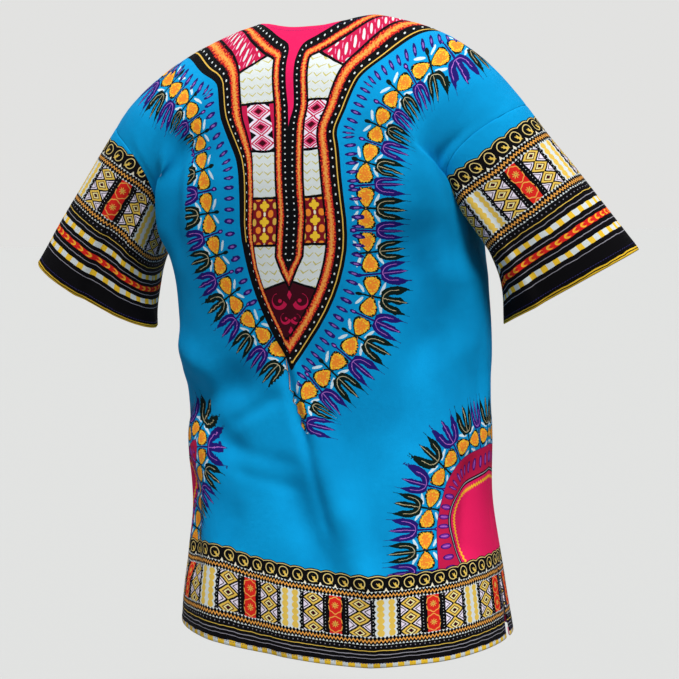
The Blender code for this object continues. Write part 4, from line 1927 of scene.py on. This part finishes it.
@dataclass(frozen=True)
class Finish:
    """Printed plain-weave cotton: what the finishes of the body and the sleeves share."""

    name: str = "printed_cotton"
    roughness: float = 0.82
    sheen: float = 0.0
    shine: float = 0.06
    rough_line: float = 0.8
    weave_pitch: float = 0.5
    weave_bump: float = 0.10
    slub_cell: float = 6.0
    hand: float = 2.2
    hand_cell: float = 14.0
    mottle_cell: float = 2.1
    cloud_cell: float = 90.0
    faded: float = 0.25
    rows: tuple = (RingRow(), Zigzag(), PanelRow())

    def draw(self, painter: Painter, across: Number, up: Number, mottle: Number) -> None:
        """Draws the print on the ground; the two finishes differ here."""
        raise NotImplementedError

    def border_rows(
        self, painter: Painter, along: Number, row_along: Number, off: Number, mottle: Number
    ) -> Number:
        """Draws the rows of the border.

        Args:
            painter: paints them.
            along: millimetres along the border.
            row_along: the same for the panels, with an uneven edge.
            off: millimetres down from its top.
            mottle: small uneven numbers about 0.

        Returns:
            How far each place is below the last row.
        """
        ring_row, zigzag, row = self.rows
        painter.stamp(ring_row, along, off, mottle)
        off = off - ring_row.height
        painter.stamp(zigzag, along, off, mottle)
        off = off - zigzag.height
        painter.stamp(row, row_along, off, mottle)
        off = off - row.height
        painter.stamp(zigzag, along, zigzag.height - off, mottle)
        return off - zigzag.height

    def material(self) -> bpy.types.Material:
        """Makes the material: the print, fainter on the inside, and the weave, as bumps and as painted light
        and shade in the colour.

        Returns:
            The material.
        """
        made, shader = add_material(
            self.name,
            {
                "Roughness": self.roughness,
                "Sheen Weight": self.sheen,
                "Specular IOR Level": self.shine,
            },
        )
        nodes = Nodes(made.node_tree)
        cut = nodes.put("ShaderNodeUVMap", uv_map="cut")
        scaled = nodes.put("ShaderNodeVectorMath", {0: cut.outputs["UV"], "Scale": 1 / MM}, operation="SCALE")
        flat = scaled.outputs["Vector"]
        plain_across, plain_up, _ = nodes.split(flat)
        hand_across, hand_up, _ = nodes.split(nodes.noise(flat, self.hand_cell).outputs["Color"])
        across = nodes.math("MULTIPLY_ADD", hand_across - 0.5, self.hand, plain_across)
        up = nodes.math("MULTIPLY_ADD", hand_up - 0.5, self.hand, plain_up)
        mottle = nodes.cloud(flat, self.mottle_cell, 0) - 0.5
        patchy = nodes.cloud(flat, self.cloud_cell, 3)
        painter = Painter(nodes, nodes.blend(patchy.ramp(0.35, 0.65), Ink.BLUE, Ink.DEEP_BLUE))
        self.draw(painter, across, up, mottle)
        inside = nodes.put("ShaderNodeAttribute", attribute_name="inside").outputs["Fac"]
        faded = nodes.blend(self.faded, painter.colour, Ink.LILAC_WHITE)
        colour = nodes.blend(inside, painter.colour, faded)
        weave = nodes.group(PlainWeave(), plain_across, plain_up, self.weave_pitch)
        height = Number(nodes, weave.outputs["Mask"])
        # Painted light and shade of the weave: the colour is up to 4 percent lighter on the raised threads
        # and darker in the hollows between them.
        painted_weave_light_and_shade = nodes.put("ShaderNodeHueSaturation", {"Value": height * 0.08 + 0.96, "Color": colour})
        nodes.feed(shader.inputs["Base Color"], painted_weave_light_and_shade.outputs["Color"])
        raised = height + nodes.cloud(flat, self.slub_cell, 2) * 2
        bump = nodes.put(
            "ShaderNodeBump", {"Strength": 1, "Distance": self.weave_bump * MM, "Height": raised}
        )
        nodes.feed(shader.inputs["Normal"], bump.outputs["Normal"])
        return made


@dataclass(frozen=True)
class BodyFinish(Finish):
    """The print of the back and the front."""

    name: str = "body_print"
    border: float = 122.0
    ring_reach: float = 56.0
    first_stem: float = 20.0
    border_end: float = 113.0
    lens_out: float = 18.5
    lens_end: float = 352.0
    tip_starts: float = 270.0
    band_share: float = 0.73
    black_edge: float = 4.5
    gold_edge: float = 0.7
    point_starts: float = 286.0
    collar_end: float = 46.0
    collar_rule: float = 1.7
    outer: DottedBand = DottedBand()
    placket: DottedBand = DottedBand(pitch=7.4, dots_at=4.4, dot=0.95, glow_low=9.0, glow_high=16.0, end=18.6)

    def draw(self, painter: Painter, across: Number, up: Number, mottle: Number) -> None:
        """Draws the wreath, the medallions, the neck panel and the hem border.

        Args:
            painter: paints them.
            across: millimetres to the wearer's left of the centre line.
            up: millimetres up from the hem.
            mottle: small uneven numbers about 0.
        """
        nodes = painter.nodes
        down = CUT.length / MM - up
        wave = mottle * self.rough_line
        wreath_along, wreath_off, border_along = nodes.attribute("wreath")
        ring_along, ring_off, field_off = nodes.attribute("medallion")
        near_ring = ring_off < self.ring_reach
        along = wreath_along + near_ring * (ring_along - self.first_stem - wreath_along)
        off = wreath_off + near_ring * (ring_off - wreath_off)
        painter.stamp(Wreath(), along + wave, off + wave, mottle)
        painter.stamp(Medallion(), ring_along, ring_off, field_off)
        left = across > 0
        neck_along, neck_off, border_rise = nodes.attribute("neck")
        lens_row = left * (4.5 - down.ramp(self.tip_starts, 360) * 12) + self.lens_out
        lens_pitch = left * -0.32 + 1.32
        lens_off = neck_off - lens_row + wave + left * (down > self.lens_end) * self.border
        painter.stamp(Lenses(), neck_along * lens_pitch + wave, lens_off, mottle)
        inner_along, inner_off, swayed = nodes.attribute("placket")
        (top, _), (bend, reach), (tip, _) = PRINT.mitre
        mitre = (down.ramp(tip, bend) - down.ramp(bend, top)) * reach
        sways_from, tip_sway = PRINT.neck_sway[1][0], PRINT.neck_sway[-1][1]
        half = PRINT.mitre_width / 2
        narrow_side = (across - down.ramp(sways_from, tip) * tip_sway - mitre).ramp(-half, half)
        narrow = down.ramp(100, 190) * 0.40 + down.ramp(230, 300) * 0.12
        wide = down.ramp(110, 50) * 0.15
        band_scale = narrow_side * (0.09 - narrow - wide) + wide + self.band_share
        margin = narrow_side * (4 - down.ramp(200, 300) * 3) + self.black_edge
        painter.paint(Ink.BLACK, neck_off < margin)
        beside_tip = (narrow_side > 0.5) & (down > self.tip_starts)
        painter.paint(Ink.GOLD, neck_off.near(0, self.gold_edge) & ~beside_tip)
        outer, placket = self.outer, self.placket
        deep = (0 - neck_off) / band_scale
        middle = abs(swayed)
        pointed = inner_off.at_least(middle * 0.93 + (down - self.point_starts) * 0.42)
        beside = (pointed - placket.end) + (neck_off + band_scale * outer.end)
        here = Painter(nodes, painter.colour)
        here.stamp(Column(), down, beside * 0.5, middle)
        corner = down - (middle - 35) * 0.45
        collar = Painter(nodes, here.colour)
        collar.stamp(Collar(), inner_along, beside * 0.5, mottle)
        inside = nodes.blend(corner < self.collar_end, here.colour, collar.colour)
        inside = nodes.blend(corner.near(self.collar_end, self.collar_rule), inside, Ink.BLACK)
        painter.paint(inside, deep > outer.end)
        band = Painter(nodes, Ink.PINK)
        band.stamp(placket, inner_along, pointed, mottle)
        painter.paint(band.colour, (pointed < placket.end) & (deep > outer.glow_low))
        glow = Painter(nodes, painter.colour)
        glow.stamp(outer, neck_along, deep, mottle)
        painter.paint(glow.colour, (neck_off < -1) & (deep < outer.end))
        from_top = self.border - up + border_rise * up.ramp(0, self.border_end)
        below = self.border_rows(painter, border_along, border_along + wave, from_top, mottle)
        painter.stamp(HemLines(), border_along, below, mottle)


@dataclass(frozen=True)
class SleeveFinish(Finish):
    """The print of the sleeves."""

    name: str = "sleeve_print"
    rows: tuple = (RingRow(), Zigzag(height=12.0), PanelRow(height=52.0, diamond_pitch=16.0))
    length: float = 215.0
    edge_line: float = 4.5

    def draw(self, painter: Painter, across: Number, up: Number, mottle: Number) -> None:
        """Draws the rows round the sleeve.

        Args:
            painter: paints them.
            across: millimetres round from the underarm.
            up: millimetres from the armhole seam.
            mottle: small uneven numbers about 0.
        """
        below = self.border_rows(painter, across, across, up, mottle)
        ring_row, zigzag, row = self.rows
        last = self.length - ring_row.height - 2 * zigzag.height - row.height
        painter.stamp(CuffLines(), across, below, last - self.edge_line)


@dataclass(frozen=True)
class Thread:
    """The sewing thread."""

    ink: Ink = Ink.NAVY
    roughness: float = 0.6

    def material(self) -> bpy.types.Material:
        """Makes the thread's material."""
        return add_material("thread", {"Base Color": self.ink.rgba, "Roughness": self.roughness})[0]


@dataclass(frozen=True)
class Stitches:
    """A row of machine stitches laid along lines by Geometry Nodes."""

    pitch: float = 0.0034
    half_length: float = 0.00135
    half_width: float = 0.00032
    sides: int = 6
    rings: int = 4
    jitter: float = 0.12
    seed: int = 5

    def sizes(self) -> dict[str, float]:
        """The node tree's inputs that are sizes."""
        names = ("Pitch", "Half length", "Half width", "Jitter")
        return dict(zip(names, (self.pitch, self.half_length, self.half_width, self.jitter)))

    def group(self, material: bpy.types.Material) -> bpy.types.GeometryNodeTree:
        """The node tree that lays stitches along a mesh of edges.

        Args:
            material: the thread.

        Returns:
            The tree, with named inputs.
        """
        tree = bpy.data.node_groups.new("stitch row", "GeometryNodeTree")
        sockets = {"Lines": "Geometry", "Seed": "Int", **{name: "Float" for name in self.sizes()}}
        for name, kind in sockets.items():
            tree.interface.new_socket(name, in_out="INPUT", socket_type="NodeSocket" + kind)
        tree.interface.new_socket("Stitches", in_out="OUTPUT", socket_type="NodeSocketGeometry")
        put = Nodes(tree).put
        given = put("NodeGroupInput").outputs
        curve = put("GeometryNodeMeshToCurve", {"Mesh": given["Lines"]}).outputs["Curve"]
        points = put("GeometryNodeCurveToPoints", {"Curve": curve, "Length": given["Pitch"]}, mode="LENGTH")
        stitch = put("GeometryNodeMeshUVSphere", {"Segments": self.sides, "Rings": self.rings, "Radius": 1})
        width, length = given["Half width"], given["Half length"]
        size = put("ShaderNodeCombineXYZ", {"X": width, "Y": width, "Z": length})
        low, high = (
            put("ShaderNodeVectorMath", {0: (end,) * 3, "Scale": given["Jitter"]}, operation="SCALE")
            for end in (-1, 1)
        )
        ends = {"Min": low.outputs["Vector"], "Max": high.outputs["Vector"], "Seed": given["Seed"]}
        astray = put("FunctionNodeRandomValue", ends, data_type="FLOAT_VECTOR")
        ways = {0: points.outputs["Tangent"], 1: astray.outputs[0]}
        way = put("ShaderNodeVectorMath", ways, operation="ADD").outputs["Vector"]
        laid = put(
            "GeometryNodeInstanceOnPoints",
            {
                "Points": points.outputs["Points"],
                "Instance": stitch.outputs["Mesh"],
                "Rotation": put("FunctionNodeAlignRotationToVector", {"Vector": way}, axis="Z").outputs[0],
                "Scale": size.outputs["Vector"],
            },
        )
        real = put("GeometryNodeRealizeInstances", {"Geometry": laid.outputs["Instances"]})
        dressed = put("GeometryNodeSetMaterial", {"Geometry": real.outputs["Geometry"], "Material": material})
        put("NodeGroupOutput", {"Stitches": dressed.outputs["Geometry"]})
        return tree

    def lay(self, name: str, lines: list, tree: bpy.types.GeometryNodeTree) -> bpy.types.Object:
        """Lays stitches along lines and makes them one plain piece.

        Args:
            name: the piece's name.
            lines: rows of points.
            tree: the node tree that lays them.

        Returns:
            The piece, in the scene.
        """
        points = np.concatenate(lines)
        starts = np.cumsum([0] + [len(line) for line in lines])
        edges = [(i, i + 1) for low, high in zip(starts, starts[1:]) for i in range(low, high - 1)]
        guide_mesh = bpy.data.meshes.new(name + "_lines")
        guide_mesh.from_pydata(points.tolist(), edges, [])
        guide = add_object(name + "_lines", guide_mesh)
        modifier = guide.modifiers.new("stitches", "NODES")
        modifier.node_group = tree
        values = {**self.sizes(), "Seed": self.seed}
        for item in tree.interface.items_tree:
            if item.name in values:
                modifier[item.identifier] = values[item.name]
        guide.update_tag()
        evaluated = guide.evaluated_get(bpy.context.evaluated_depsgraph_get())
        data = bpy.data.meshes.new_from_object(evaluated)
        bpy.data.objects.remove(guide)
        data.name = name
        data.shade_smooth()
        return add_object(name, data)


@dataclass(frozen=True)
class View:
    """Where the photograph was taken from, in degrees, metres and picture points."""

    azimuth: float = 202.0
    elevation: float = 4.0
    roll: float = -2.0
    distance: float = 2.2
    target: tuple = (0.0, 0.0, -0.36)
    right_shift: float = 0.0118
    up_shift: float = -0.0243
    focal: float = 93.7

    def add(self) -> None:
        """Makes the camera."""
        back, roll = direction(self.azimuth, self.elevation), math.radians(self.roll)
        right = Vector((0, 0, 1)).cross(back).normalized()
        up = back.cross(right)
        rolled_right = right * math.cos(roll) + up * math.sin(roll)
        rolled_up = up * math.cos(roll) - right * math.sin(roll)
        aim = Vector(self.target) + rolled_right * self.right_shift + rolled_up * self.up_shift
        data = bpy.data.cameras.new("camera")
        data.lens = self.focal
        data.sensor_width = 36
        camera = add_object("camera", data)
        axes = Matrix((rolled_right, rolled_up, back)).transposed().to_4x4()
        camera.matrix_world = Matrix.Translation(aim + back * self.distance) @ axes
        bpy.context.scene.camera = camera


@dataclass(frozen=True)
class Light:
    """A soft light from one side, even all over the scene: its spread is in degrees."""

    name: str
    azimuth: float
    elevation: float
    spread: float
    strength: float


@dataclass(frozen=True)
class Studio:
    """The plain pale floor and the soft light."""

    floor_z: float = -1.05
    floor_size: float = 120.0
    floor_colour: tuple = (0.46, 0.46, 0.45, 1)
    floor_roughness: float = 0.9
    backdrop: tuple = (0.76, 0.76, 0.75, 1)
    sky: tuple = (0.90, 0.95, 1.0, 1)
    sky_strength: float = 0.31
    lights: tuple = (
        Light(name="key", azimuth=214, elevation=60, spread=24, strength=4.15),
        Light(name="front", azimuth=20, elevation=45, spread=50, strength=1.0),
    )

    def build(self) -> None:
        """Makes the floor, the sky light and the lights."""
        half = self.floor_size / 2
        corners = [(x * half, y * half, self.floor_z) for x, y in ((-1, -1), (1, -1), (1, 1), (-1, 1))]
        data = bpy.data.meshes.new("floor")
        data.from_pydata(corners, [], [(0, 1, 2, 3)])
        values = {"Base Color": self.floor_colour, "Roughness": self.floor_roughness, "Specular IOR Level": 0}
        data.materials.append(add_material("paper", values)[0])
        floor = add_object("floor", data)
        floor.visible_diffuse = False
        self.surroundings()
        for light in self.lights:
            self.add(light)
        bpy.context.scene.view_settings.view_transform = "Standard"

    def surroundings(self) -> None:
        """Makes the sky light, with a plain pale backdrop in front of it."""
        world = bpy.data.worlds.new("studio")
        world.use_nodes = True
        nodes = Nodes(world.node_tree)
        seen = nodes.put("ShaderNodeLightPath").outputs["Is Camera Ray"]
        sky = world.node_tree.nodes["Background"]
        sky.inputs["Color"].default_value = self.sky
        sky.inputs["Strength"].default_value = self.sky_strength
        backdrop = nodes.put("ShaderNodeBackground", {"Color": self.backdrop})
        shaders = {0: seen, 1: sky.outputs["Background"], 2: backdrop.outputs["Background"]}
        mixed = nodes.put("ShaderNodeMixShader", shaders)
        nodes.feed(world.node_tree.nodes["World Output"].inputs["Surface"], mixed.outputs["Shader"])
        bpy.context.scene.world = world

    def add(self, light: Light) -> None:
        """Adds one light.

        Args:
            light: the light.
        """
        data = bpy.data.lights.new(light.name, "SUN")
        data.angle = math.radians(light.spread)
        data.energy = light.strength
        lamp = add_object(light.name, data)
        lamp.rotation_euler = direction(light.azimuth, light.elevation).to_track_quat("Z", "Y").to_euler()


def main() -> None:
    """Builds the cloth, its stitches and the studio."""
    logging.basicConfig(level=logging.INFO, format="%(message)s")
    thread = Thread().material()
    rows = Stitches()
    tree = rows.group(thread)
    body_cloth, sleeve_cloth = (finish.material() for finish in (BodyFinish(), SleeveFinish()))
    backs, fronts = BACK_FOLDS + BACK_CREASES, FRONT_FOLDS + FRONT_CREASES
    parts = (
        (BodyPanel(name="back", face=1, area=0.4557, folds=backs, seed=11), body_cloth),
        (BodyPanel(name="front", face=-1, area=0.4500, folds=fronts, seed=23), body_cloth),
        (Sleeve(name="sleeve_left", side=1, folds=LEFT_SLEEVE_FOLDS, seed=31), sleeve_cloth),
        (Sleeve(name="sleeve_right", side=-1, folds=RIGHT_SLEEVE_FOLDS, seed=47), sleeve_cloth),
    )
    for part, cloth in parts:
        piece, lines = part.build()
        piece.data.materials.append(cloth)
        stitches = rows.lay(part.name + "_stitches", lines, tree)
        for made in (piece, stitches):
            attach(made, "root")
        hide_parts(part.name)
        faces = len(piece.data.polygons)
        REPORT.info("%s: %d faces, %d on its stitches", part.name, faces, len(stitches.data.polygons))
    View().add()
    Studio().build()


if __name__ == "__main__":
    main()
